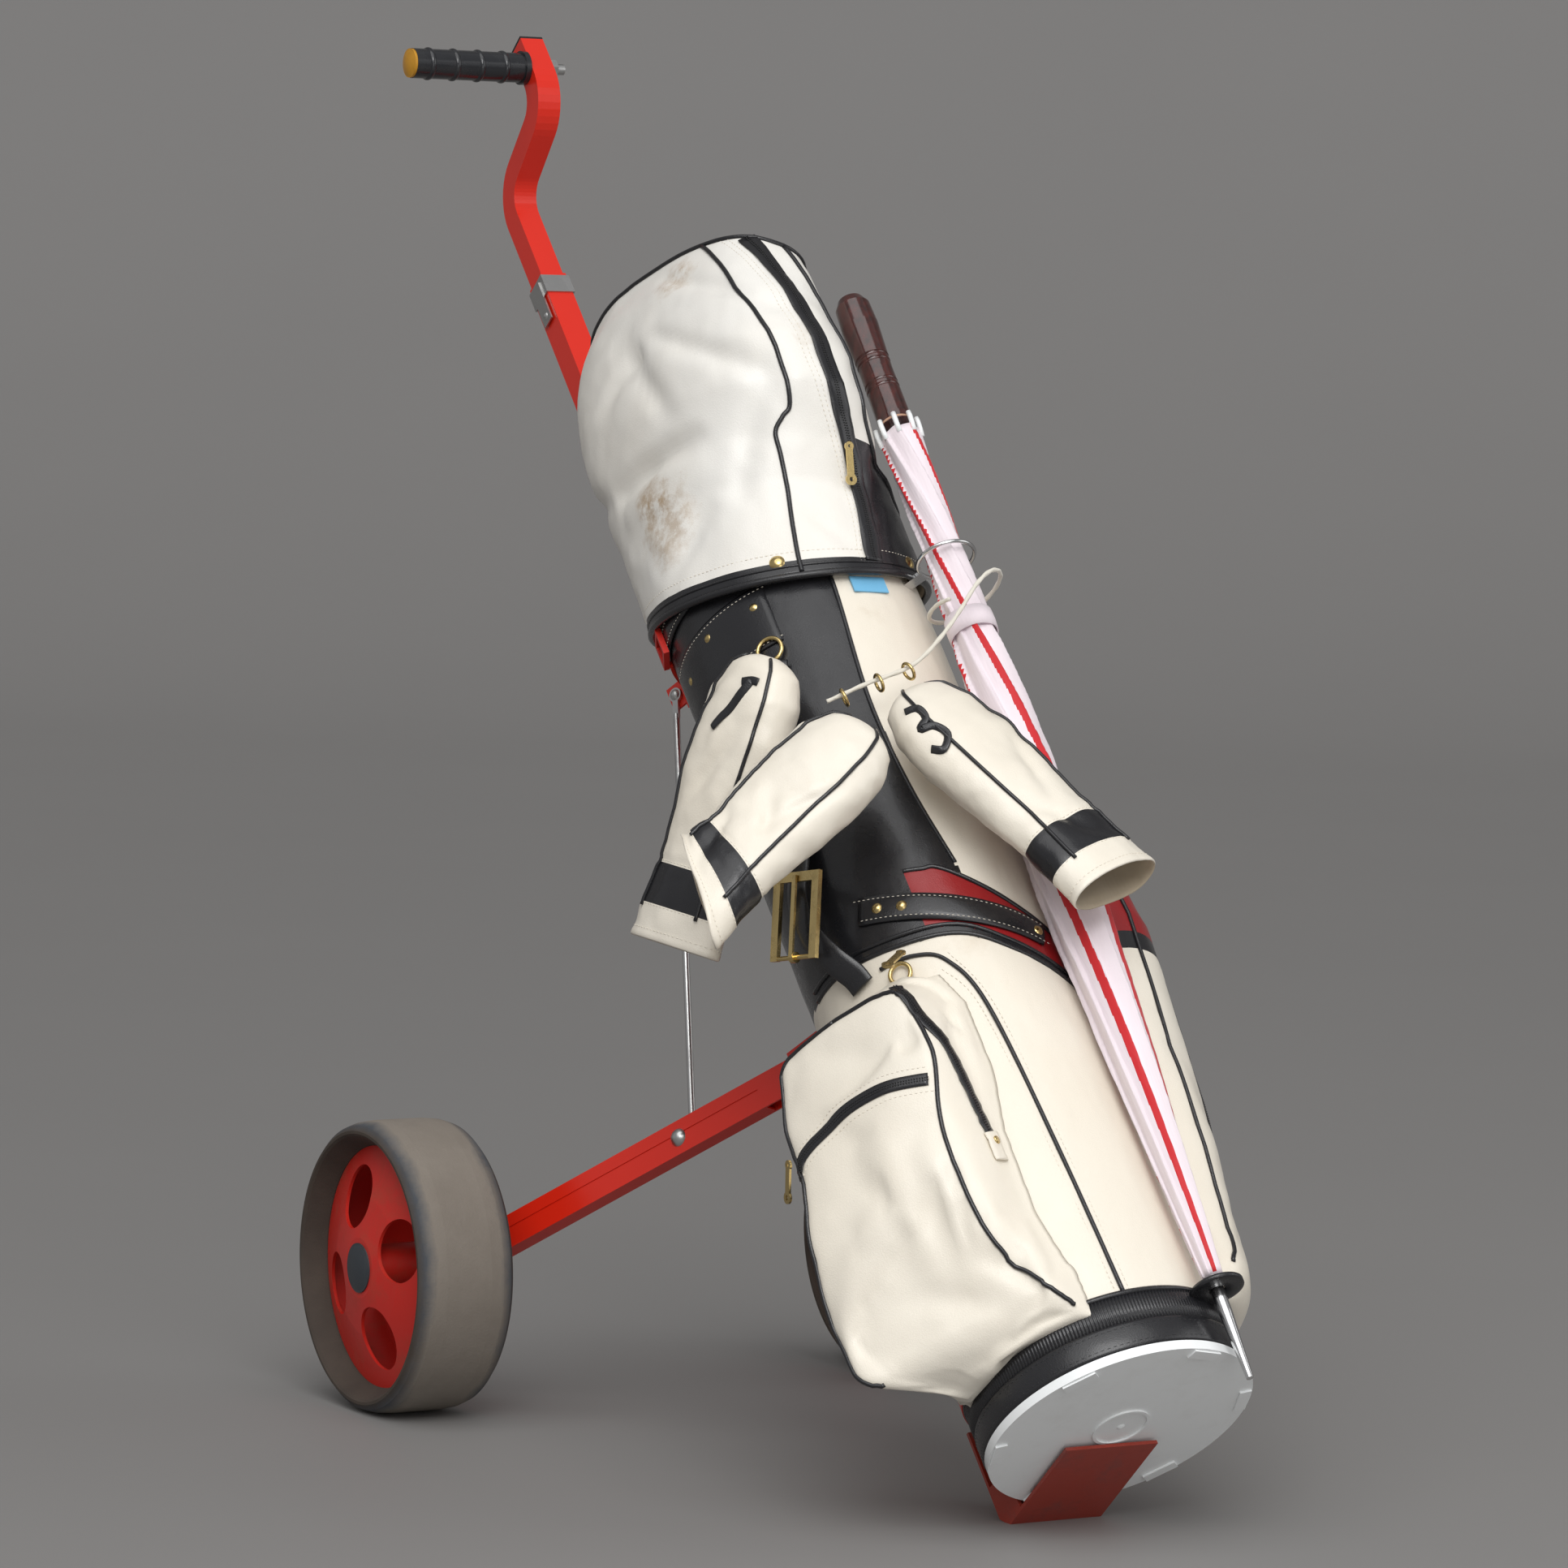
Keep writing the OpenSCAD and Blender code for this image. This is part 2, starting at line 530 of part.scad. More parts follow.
// Each pair of sections is joined in four steps, so that the back follows the round barrel
function finer(rings) = [for (k = [0:len(rings) - 2]) for (i = [0:3])
    rings[k] + (rings[k + 1] - rings[k]) * i / 4, rings[len(rings) - 1]];
module ball_pocket() color("ivory") leaning() skin([for (s = finer(pocket_rings)) pouch_ring(s)]);
module garment_pocket() color("ivory") leaning() skin([for (s = finer(garment_rings)) pouch_ring(s)]);

module carry_belt() color("black") leaning()
    strap([for (a = [-57:7:20]) on_barrel(a, belt_height(a), bag_r + gap)], 25, strap_t);

module shoulder_strap() color("black") leaning()
    strap([for (q = strap_route) on_barrel(q[0], q[1], q[2])], 24, strap_t);

// Rectangular brass buckle frame where the shoulder strap doubles back
module at_buckle() on_bag(-75, 480, 139) rotate([0, 32, 0]) children();
module shoulder_buckle() color("gold") leaning() at_buckle() {
    difference() {
        translate([-27, -4, -34]) cube([54, 4, 72]);
        translate([-19, -10, -40]) cube([38, 20, 70]);
    }
    translate([-19, -2, -32]) rotate([0, 90, 0]) cylinder(h = 38, r = 2);
}
module buckle_prong() color("gold") leaning() at_buckle() {
    difference() {
        translate([-2.5, -2, -32]) rotate([0, 90, 0]) cylinder(h = 5, r = 4.6);
        translate([-4, -2, -32]) rotate([0, 90, 0]) cylinder(h = 8, r = 2.06);
    }
    translate([-2.2, -6.6, -32]) cube([4.4, 2.1, 67]);
}

module bag_tag() color("steelblue") leaning()
    on_bag(4, 762, bag_r + 0.1) translate([-17, -1.4, 0]) cube([34, 1.4, 16]);

// Domed rivets on the belt, cuff and straps
module bag_rivets() color("gold") leaning() for (q = rivets)
    on_bag(q[0], q[1], bag_r + q[2]) rotate([90, 0, 0]) dome(5, 3);

// Brass rings of the shoulder strap
module bag_rings() color("gold") leaning() {
    on_bag(-50, 730, bag_r + 4) rotate([90, 0, 0]) wire_ring(11, 1.8);
    on_bag(-50, 396, bag_r + 4) rotate([90, 0, 0]) wire_ring(9, 1.8);
}

// ---- umbrella and its holders ----

module umbrella_shaft() color("silver") leaning() along_umbrella() {
    translate([0, 0, -umb_tip_len]) cylinder(h = 60, r1 = umb_tip_r, r2 = umb_shaft_d / 2);
    translate([0, 0, -32]) cylinder(h = umb_len - 140 + 32, r = umb_shaft_d / 2);
}

// Furled canopy, a closed spindle round the shaft
module umbrella_canopy() color("mistyrose") leaning() along_umbrella() rotate_extrude($fn = 48)
    polygon(concat([[umb_shaft_d / 2, 0]], [for (q = umb_profile) [q[1], q[0]]],
        [[umb_shaft_d / 2, umb_canopy_len]]));

module umbrella_handle() color("saddlebrown") leaning() along_umbrella() translate([0, 0, umb_len - 140])
    rotate_extrude() difference() {
        polygon([[0, 0], [14, 0], [15, 8], [14.5, 60], [umb_handle_d / 2, 110], [umb_handle_d / 2 - 1, 132],
            [umb_handle_d / 2 - 5, 140], [0, 141]]);
        for (z = [38, 44, 66, 72]) translate([16, z]) circle(2.2, $fn = 24);
    }

module umbrella_tie() color("mistyrose") leaning() along_umbrella() difference() {
    translate([0, 0, 632]) cylinder(h = 20, r = 24.4);
    translate([0, 0, 631]) cylinder(h = 22, r = 23.3);
}

// Chrome ring on a riveted ear near the bag's mouth
module umbrella_ring() color("silver") leaning() {
    along_umbrella() translate([0, 0, umb_ring_at]) wire_ring(25, 1.8);
    on_bag(31, 781, bag_r) translate([-6, -17.4, -1.5]) cube([12, 17.4, 3]);
}

// Leather boot with a hole for the umbrella's foot
module umbrella_boot() color("black") leaning() difference() {
    hull() {
        along_umbrella() translate([0, 0, -12]) cylinder(h = 4, r = 22, $fn = 32);
        on_bag(26, 53, bag_r + 2.4) translate([-16, -1, 0]) cube([32, 1, 4]);
    }
    along_umbrella() translate([0, 0, -40]) cylinder(h = 80, r = umb_shaft_d / 2 + 0.5);
    translate([0, bag_y, 0]) cylinder(h = 100, r = bag_r + 2.2, $fn = 96);
}

// ---- hood ----

function hood_ring(s, inset) = [for (i = [0:47]) let (a = i * 360 / 48, rx = s[3] - inset, ry = s[4] - inset)
    [s[1] + rx * sin(a) * (1 - s[5] * cos(a)), s[2] - ry * cos(a), s[0]]];

module hood() color("ivory") leaning() difference() {
    skin([for (s = hood_rings) hood_ring(s, 0)]);
    skin([for (k = [0:len(hood_rings) - 1]) let (s = hood_rings[k])
        hood_ring([s[0] - (k == 0 ? 5 : 3), s[1], s[2], s[3], s[4], s[5]], 2.6)]);
    // rim rises towards the back, clear of the strap and cradle
    translate([-200, bag_y - 240, 782 - 130 * 0.42 - 300])
        multmatrix([[1, 0, 0, 0], [0, 1, 0, 0], [0, 0.42, 1, 0], [0, 0, 0, 1]]) cube([400, 480, 300]);
}

module hood_snaps() color("gold") leaning() for (a = [-33, 33])
    on_bag(a, 803, 117.2) rotate([90, 0, 0]) dome(7, 3.4);

// Flat zip pull: hangs from its eye towards a point, its face turned outwards
module pull(eye, to, face) {
    len = norm(to - eye);
    z = unit(eye - to);
    x = unit(cross(face, z));
    y = cross(z, x);
    turned(x, y, z, eye)
        difference() {
            union() {
                rotate([90, 0, 0]) cylinder(h = 2, r = 4, center = true);
                translate([-3, -1, -len]) cube([6, 2, len]);
                translate([0, 0, -len]) rotate([90, 0, 0]) cylinder(h = 2, r = 5, center = true);
            }
            translate([0, 0, -len]) rotate([90, 0, 0]) cylinder(h = 6, r = 2, center = true);
            rotate([90, 0, 0]) cylinder(h = 6, r = 1.4, center = true);
        }
}
module hood_zip_pull() color("gold") leaning() pull([14, -279, 888], [14, -264, 864], [0, -0.85, -0.53]);
module ball_zip_pull() color("gold") leaning() pull([-205, -130, 266], [-205, -112.6, 246.7], [-1, 0, 0]);
module gusset_zip_pull() color("gold") leaning()
    pull([-102, -235, 393], [-122, -240, 378], [-0.68, -0.73, 0]);

// ---- head covers ----

// x from the tip along the cover, z out of its face; cut is how far the mouth is short below and above
function cover_ring(s, inset, cut) = [for (i = [0:23]) let (a = i * 15)
    [s[0] * (1 - cut[0] - (cut[1] - cut[0]) * (1 - cos(a)) / 2 * pow(s[0] / cover_len, 2)),
        (s[1] - inset) * cos(a), (s[2] - inset) * sin(a)]];
module cover_shape(cut = [0, 0]) difference() {
    skin([for (s = cover_rings_list) cover_ring(s, 0, cut)]);
    skin([for (k = [2:len(cover_rings_list) - 1]) let (s = cover_rings_list[k])
        cover_ring([k == len(cover_rings_list) - 1 ? s[0] + 3 : s[0], s[1], s[2]], cover_wall, cut)]);
}
// Stands a cover from its tip towards a point, its face turned outwards
module cover_from(tip, to, face) {
    x = unit(to - tip);
    y = unit(cross(face, x));
    z = cross(x, y);
    turned(x, y, z, tip) children();
}
module headcover_1() color("ivory") leaning()
    cover_from(cover_1_tip, cover_1_to, [-0.9, -0.3, 0]) cover_shape();
module headcover_2() color("ivory") leaning()
    cover_from(cover_2_tip, cover_2_to, [-0.45, -0.85, 0.2]) cover_shape(cover_2_cut);
module headcover_3() color("ivory") leaning()
    cover_from(cover_3_tip, cover_3_to, [0.1, -1, 0]) cover_shape();

// Small brass rings threaded on the string, one for each cover
module cover_rings() color("gold") leaning() for (k = [1, 3, 5]) let (d = route_dir(string_route, k))
    translate(string_route[k] - [0, 0, 3.5]) rotate([0, acos(d[2]), atan2(d[1], d[0])]) wire_ring(7, 1.4);

module cover_string() color("white") leaning() cord(string_route, 2, 8);

main_tube();
foot_bracket();
lower_cradle();
upper_cradle();
hub_bracket();
frame_bolts();
tube_clip();
slider_collar();
handle_tube();
tube_end_cap();
handle_grip();
grip_end_cap();
grip_bolt();
leg(false);  // leg_left
leg(true);  // leg_right
leg_bolts(false);  // leg_bolts_left
leg_bolts(true);  // leg_bolts_right
axle_bracket(false);  // axle_bracket_left
axle_bracket(true);  // axle_bracket_right
axle(false);  // axle_left
axle(true);  // axle_right
rod(false);  // rod_left
rod(true);  // rod_right
rim(false);  // rim_left
rim(true);  // rim_right
tyre(false);  // tyre_left
tyre(true);  // tyre_right
hub_cap(false);  // hub_cap_left
hub_cap(true);  // hub_cap_right
upper_strap();
upper_strap_buckle();
bag_body();
base_cup();
base_collar();
mouth_ring();
ball_pocket();
garment_pocket();
carry_belt();
shoulder_strap();
shoulder_buckle();
buckle_prong();
bag_tag();
bag_rivets();
bag_rings();
umbrella_ring();
umbrella_boot();
umbrella_canopy();
umbrella_shaft();
umbrella_handle();
umbrella_tie();
hood();
hood_snaps();
hood_zip_pull();
ball_zip_pull();
gusset_zip_pull();
headcover_1();
headcover_2();
headcover_3();
cover_rings();
cover_string();
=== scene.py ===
# Golf bag, head covers and umbrella on a red pull cart: soft goods, trim and finishes round the frame
import json
import math
import bmesh
import bpy
from mathutils import Matrix, Vector, noise
from mathutils.bvhtree import BVHTree


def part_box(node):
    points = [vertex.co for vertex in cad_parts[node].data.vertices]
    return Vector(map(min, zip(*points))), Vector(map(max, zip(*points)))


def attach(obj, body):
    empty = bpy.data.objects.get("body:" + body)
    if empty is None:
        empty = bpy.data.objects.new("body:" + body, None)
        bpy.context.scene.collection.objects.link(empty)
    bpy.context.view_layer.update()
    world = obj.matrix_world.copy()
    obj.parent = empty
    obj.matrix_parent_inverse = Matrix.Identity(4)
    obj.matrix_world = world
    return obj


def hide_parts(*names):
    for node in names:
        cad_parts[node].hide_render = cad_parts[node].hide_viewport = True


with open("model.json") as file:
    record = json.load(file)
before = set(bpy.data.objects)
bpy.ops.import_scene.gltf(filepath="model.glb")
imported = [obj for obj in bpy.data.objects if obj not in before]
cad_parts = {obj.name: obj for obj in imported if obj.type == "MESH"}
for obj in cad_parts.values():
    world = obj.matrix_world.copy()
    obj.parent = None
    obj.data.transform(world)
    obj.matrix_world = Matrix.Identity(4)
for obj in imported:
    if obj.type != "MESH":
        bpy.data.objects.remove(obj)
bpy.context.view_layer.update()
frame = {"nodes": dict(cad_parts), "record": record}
nodes = frame["nodes"]

# Where things are: the leaning frame runs up the cart's tube, in millimetres

cart = {"lean": 42.0, "axleY": 660.0, "bagY": -129.5, "bagR": 108.5, "mouth": 850.0}
leanSin = math.sin(math.radians(cart["lean"]))
leanCos = math.cos(math.radians(cart["lean"]))
tyreLow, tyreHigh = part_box("tyre_left")
wheelX, wheelY, wheelZ = (0.5 * (low + high) for low, high in zip(tyreLow, tyreHigh))
midY = cart["axleY"] - 1000 * wheelY


def place(x, y, z):
    return Vector((x, y * leanCos + z * leanSin - midY, z * leanCos - y * leanSin)) / 1000


def onBag(angle, up, r):
    a = math.radians(angle)
    return place(r * math.sin(a), cart["bagY"] - r * math.cos(a), up)


def upDown(points, x):  # straight-line reading of a list of (x, value) pairs
    if x <= points[0][0]:
        return points[0][1]
    for (x0, v0), (x1, v1) in zip(points, points[1:]):
        if x <= x1:
            return v0 + (v1 - v0) * (x - x0) / (x1 - x0)
    return points[-1][1]


def smooth(points, steps=8, closed=False):  # Catmull-Rom curve through points
    n = len(points)
    points = [Vector(p) for p in points]
    out = []
    for i in range(n if closed else n - 1):
        if closed:
            a, b, c, d = (points[(i + k) % n] for k in (-1, 0, 1, 2))
        else:
            a, b, c, d = points[max(i - 1, 0)], points[i], points[i + 1], points[min(i + 2, n - 1)]
        for k in range(steps):
            t = k / steps
            out.append(0.5 * ((2 * b) + (c - a) * t + (2 * a - 5 * b + 4 * c - d) * t * t
                              + (3 * b - a - 3 * c + d) * t * t * t))
    if not closed:
        out.append(points[-1])
    return out


def evenly(points, step):  # points a fixed distance apart along a line
    out, carried = [points[0].copy()], 0.0
    for a, b in zip(points, points[1:]):
        length = (b - a).length
        at = step - carried
        while at <= length:
            out.append(a.lerp(b, at / length))
            at += step
        carried = length - (at - step)
    return out


def bump(p, scale, depth=3):  # steady noise from -1 to 1 at a world point in metres
    return noise.fractal(Vector(p) * scale, 0.9, 2.0, depth)


# Finishes

class Sock:
    def __init__(self, look, socket):
        self.look, self.socket = look, socket

    def math(self, kind, a, b):
        return self.look.node("ShaderNodeMath", {"operation": kind}, {0: a, 1: b})

    def __add__(self, b): return self.math("ADD", self, b)
    def __radd__(self, b): return self.math("ADD", b, self)
    def __sub__(self, b): return self.math("SUBTRACT", self, b)
    def __rsub__(self, b): return self.math("SUBTRACT", b, self)
    def __mul__(self, b): return self.math("MULTIPLY", self, b)
    def __rmul__(self, b): return self.math("MULTIPLY", b, self)
    def __truediv__(self, b): return self.math("DIVIDE", self, b)
    def __pow__(self, b): return self.math("POWER", self, b)
    def __abs__(self): return self.look.node("ShaderNodeMath", {"operation": "ABSOLUTE"}, {0: self})


class Look:
    def __init__(self, name, rough=0.5, metal=0.0, coat=0.0, sheen=0.0):
        self.mat = bpy.data.materials.new(name)
        self.mat.use_nodes = True
        self.tree = self.mat.node_tree
        self.shader = self.tree.nodes["Principled BSDF"]
        for key, value in {"Roughness": rough, "Metallic": metal, "Coat Weight": coat, "Coat Roughness": 0.15,
                           "Sheen Weight": sheen, "IOR": 1.45}.items():
            self.shader.inputs[key].default_value = value
        self.coords = self.node("ShaderNodeTexCoord", out="Object")

    def node(self, kind, settings=None, sockets=None, out=0):
        made = self.tree.nodes.new(kind)
        for key, value in (settings or {}).items():
            if key == "stops":
                ramp = made.color_ramp
                while len(ramp.elements) < len(value):
                    ramp.elements.new(0.5)
                for element, (at, shade) in zip(ramp.elements, value):
                    element.position, element.color = at, (shade, shade, shade, 1)
            else:
                setattr(made, key, value)
        for key, value in (sockets or {}).items():
            if isinstance(value, Sock):
                self.tree.links.new(value.socket, made.inputs[key])
            else:
                made.inputs[key].default_value = value
        return Sock(self, made.outputs[out])

    def noise(self, scale, detail=3.0, rough=0.55, where=None):
        return self.node("ShaderNodeTexNoise", None, {"Vector": where or self.coords, "Scale": scale,
                                                     "Detail": detail, "Roughness": rough})

    def cells(self, scale, where=None):
        return self.node("ShaderNodeTexVoronoi", None, {"Vector": where or self.coords, "Scale": scale})

    def ramp(self, fac, stops):
        return self.node("ShaderNodeValToRGB", {"stops": stops}, {0: fac})

    def mix(self, fac, a, b):  # colours
        four = lambda c: c if isinstance(c, Sock) else (*c, 1)
        return self.node("ShaderNodeMix", {"data_type": "RGBA"}, {0: fac, 6: four(a), 7: four(b)}, out=2)

    def along(self, rotation, scale):
        turn = {"Vector": self.coords, "Rotation": rotation, "Scale": scale}
        return self.node("ShaderNodeMapping", None, turn)

    def colour(self, value):
        self.tree.links.new(value.socket, self.shader.inputs["Base Color"])

    def rough(self, value):
        self.tree.links.new(value.socket, self.shader.inputs["Roughness"])

    def relief(self, height, strength, depth):
        made = self.node("ShaderNodeBump", None, {"Height": height, "Strength": strength, "Distance": depth},
                         out="Normal")
        self.tree.links.new(made.socket, self.shader.inputs["Normal"])


def vinyl(name, base, shade, stain, grain, rough, coat=0.0, dents=0.25, soiled=()):
    look = Look(name, rough, coat=coat)
    mottled = look.ramp(look.noise(5, 4), [(0.35, 0), (0.7, 1)])
    spots = look.ramp(look.noise(9, 6, 0.7), [(0.62, 0), (0.82, 1)])
    for at, size in soiled:
        away = look.node("ShaderNodeVectorMath", {"operation": "DISTANCE"}, {0: look.coords, 1: at},
                         out="Value")
        near = look.ramp(away / size + (look.noise(30, 6, 0.75) - 0.5) * 1.6, [(0.45, 1), (1.0, 0)])
        spots = spots + near * look.ramp(look.noise(70, 5, 0.7), [(0.4, 0.1), (0.6, 1.2)])
    look.colour(look.mix(spots * 0.55, look.mix(mottled * 0.6, base, shade), stain))
    look.rough(rough + (look.noise(60, 3) - 0.5) * 0.16)
    pores = look.cells(grain) * 0.5 + look.noise(grain * 2.2, 2) * 0.35
    look.relief(pores + look.noise(38, 4) * dents * 6, 0.35, 0.0006)
    return look.mat


def paint(name, base, dark, wear=0.0, rough=0.3):
    look = Look(name, rough, coat=0.35)
    scuffs = look.ramp(look.noise(26, 8, 0.75), [(0.66 - wear * 0.16, 0), (0.76, 1)])
    specks = look.ramp(look.noise(520, 2), [(0.70, 0), (0.78, 1)])
    tone = look.mix(look.noise(7, 3) * 0.35, base, dark)
    look.colour(look.mix(scuffs * (0.35 + wear * 0.4) + specks * 0.25, tone, [c * 0.35 + 0.06 for c in dark]))
    look.rough(rough + scuffs * 0.25 + (look.noise(90, 2) - 0.5) * 0.08)
    look.relief(look.noise(420, 2) + scuffs * -0.5, 0.1, 0.0004)
    return look.mat


def metal(name, base, rough, tarnish=(0.3, 0.3, 0.3), brushed=0.0):
    look = Look(name, rough, metal=1.0)
    dull = look.ramp(look.noise(45, 6, 0.7), [(0.5, 0), (0.78, 1)])
    look.colour(look.mix(dull * 0.55, base, tarnish))
    look.rough(rough + dull * 0.22)
    look.relief(look.noise(300, 3) + look.noise(30, 2) * brushed, 0.12, 0.0004)
    return look.mat


def plastic(name, base, dust, rough=0.4, dusty=0.3, coat=0.0):
    look = Look(name, rough, coat=coat)
    dirt = look.ramp(look.noise(22, 6, 0.7), [(0.5, 0), (0.75, 1)])
    look.colour(look.mix(dirt * dusty, base, dust))
    look.rough(rough + dirt * 0.2)
    look.relief(look.noise(700, 2) + look.noise(40, 2) * 0.6, 0.12, 0.0004)
    return look.mat


def tyreRubber():
    look = Look("tyreRubber", 0.85)
    split = look.node("ShaderNodeSeparateXYZ", None, {0: look.coords})
    part = lambda axis: Sock(look, split.socket.node.outputs[axis])
    side = abs((abs(part("X")) + wheelX) * 1000)
    y, z = (part("Y") - wheelY) * 1000, (part("Z") - wheelZ) * 1000
    far = (y * y + z * z) ** 0.5
    patch = look.noise(16, 6, 0.7)
    tread = look.ramp((far - 114 + (patch - 0.5) * 9) / 14, [(0.3, 0), (0.75, 1)])
    edge = look.ramp((side - 26 + (patch - 0.5) * 26) / 20, [(0.2, 0), (0.8, 1)])
    worn = look.mix(patch, (0.17, 0.145, 0.12), (0.26, 0.23, 0.195))
    shoulder = look.mix(look.noise(30, 5), (0.035, 0.042, 0.052), (0.10, 0.105, 0.115))
    wall = look.mix(look.noise(24, 5), (0.035, 0.027, 0.022), (0.085, 0.065, 0.05))
    look.colour(look.mix(tread, wall, look.mix(edge, worn, shoulder)))
    look.relief(look.noise(500, 4) + look.noise(60, 3) * 1.2, 0.35, 0.0008)
    return look.mat


def wood():
    look = Look("darkWood", 0.16, coat=0.9)
    turned = look.along((math.radians(-cart["lean"]), 0, 0), (34, 34, 3))
    grain = look.noise(5, 8, 0.7, turned)
    streaks = look.ramp(grain, [(0.35, 0), (0.7, 1)])
    look.colour(look.mix(streaks, (0.018, 0.004, 0.003), (0.085, 0.012, 0.008)))
    look.relief(grain, 0.1, 0.0004)
    return look.mat


def cloth(name, base, shade, threads=2600.0, sheen=0.2, rough=0.6):
    look = Look(name, rough, sheen=sheen)
    tilt = look.along((math.radians(-cart["lean"]), 0, 0), (1, 1, 1))
    weave = look.node("ShaderNodeTexWave", {"bands_direction": "X"}, {"Vector": tilt, "Scale": threads / 20})
    cross = look.node("ShaderNodeTexWave", {"bands_direction": "Z"}, {"Vector": tilt, "Scale": threads / 20})
    look.colour(look.mix(look.noise(14, 4), base, shade))
    look.rough(rough + (look.noise(50, 2) - 0.5) * 0.15)
    look.relief(weave + cross + look.noise(60, 3) * 2, 0.15, 0.0003)
    return look.mat


creamTone, blackTone = (0.83, 0.775, 0.67), (0.012, 0.012, 0.014)
looks = {
    "red_paint": paint("redPaint", (0.76, 0.022, 0.006), (0.52, 0.012, 0.006)),
    "worn_red_paint": paint("wornRedPaint", (0.36, 0.032, 0.014), (0.2, 0.03, 0.018), wear=0.8, rough=0.45),
    "zinc_steel": metal("zincSteel", (0.55, 0.55, 0.54), 0.3, (0.3, 0.3, 0.3), 1.0),
    "black_plastic": plastic("blackPlastic", (0.012, 0.012, 0.012), (0.08, 0.075, 0.07), 0.45, 0.3),
    "grip_rubber": plastic("gripRubber", (0.012, 0.013, 0.016), (0.05, 0.05, 0.05), 0.24, 0.2, coat=0.5),
    "ochre_plastic": plastic("ochrePlastic", (0.56, 0.27, 0.02), (0.25, 0.12, 0.02), 0.35, 0.5),
    "red_plastic": plastic("redPlastic", (0.58, 0.02, 0.012), (0.27, 0.09, 0.05), 0.42, 0.45),
    "tyre_rubber": tyreRubber(),
    "grey_plastic": plastic("greyPlastic", (0.035, 0.042, 0.05), (0.12, 0.115, 0.11), 0.5, 0.4),
    "black_vinyl": vinyl("blackVinyl", blackTone, (0.02, 0.02, 0.022), (0.05, 0.045, 0.04), 900, 0.28, 0.25),
    "cream_vinyl": vinyl("creamVinyl", creamTone, (0.78, 0.71, 0.59), (0.6, 0.5, 0.37), 850, 0.38, 0.12),
    "hood_vinyl": vinyl("hoodVinyl", (0.86, 0.84, 0.79), (0.8, 0.755, 0.67), (0.5, 0.38, 0.26), 850, 0.42,
                        0.08, soiled=((onBag(-76, 905, 112), 0.045), (onBag(-80, 940, 112), 0.03),
                                      (onBag(-30, 1130, 120), 0.03))),
    "white_plastic": plastic("whitePlastic", (0.86, 0.88, 0.88), (0.6, 0.58, 0.54), 0.3, 0.2, coat=0.3),
    "brass": metal("brass", (0.66, 0.5, 0.22), 0.22, (0.3, 0.22, 0.1)),
    "blue_label": cloth("blueLabel", (0.13, 0.42, 0.68), (0.2, 0.5, 0.74), 5000.0, 0.1, 0.45),
    "chrome": metal("chrome", (0.72, 0.72, 0.72), 0.12, (0.4, 0.4, 0.4)),
    "canopy_cloth": cloth("canopyCloth", (0.84, 0.76, 0.79), (0.78, 0.67, 0.72)),
    "red_cloth": cloth("redCloth", (0.66, 0.012, 0.02), (0.5, 0.01, 0.015)),
    "dark_wood": wood(),
    "white_string": cloth("whiteString", (0.8, 0.765, 0.68), (0.66, 0.62, 0.52), 3000.0, 0.3, 0.75),
    "red_vinyl": vinyl("redVinyl", (0.3, 0.012, 0.014), (0.24, 0.01, 0.012), (0.12, 0.02, 0.02), 900, 0.36,
                       0.15),
    "lining": cloth("lining", (0.5, 0.42, 0.31), (0.36, 0.29, 0.2), 1500.0, 0.2, 0.85),
    "pale_wood": plastic("paleWood", (0.5, 0.3, 0.2), (0.35, 0.2, 0.12), 0.6, 0.4),
}
for row in frame["record"]["subparts"]:
    held = nodes[row["node"]].data.materials
    held.clear()
    held.append(looks[row["material_slot"]])
print("finishes made")

# Camera, floor and light

stage = {"turn": -29.65, "rise": 4.04, "roll": 1.17, "lens": 141.5, "sensor": 36.0,
         "eye": (-2604.1, -4113.5, 927.5), "floor": 60.0, "wall": 9.0, "bend": 5.0, "bendSteps": 24,
         "tones": ((0.235, 0.228, 0.222), (0.2, 0.195, 0.192)), "air": (0.62, 0.62, 0.63, 1),
         "airPower": 0.55, "skyPower": 1.5, "skyBlur": 70, "skyTilt": (28, -22), "aim": (0, 0, 0.55),
         "lamps": (("key", (-1.6, -3.0, 3.2), 2.2, 62), ("fill", (3.0, -2.4, 2.0), 2.4, 22),
                   ("low", (-0.4, -3.6, 0.5), 1.6, 16))}  # a lamp's name, place, size and power


def linked(name, data):
    made = bpy.data.objects.new(name, data)
    bpy.context.scene.collection.objects.link(made)
    return made


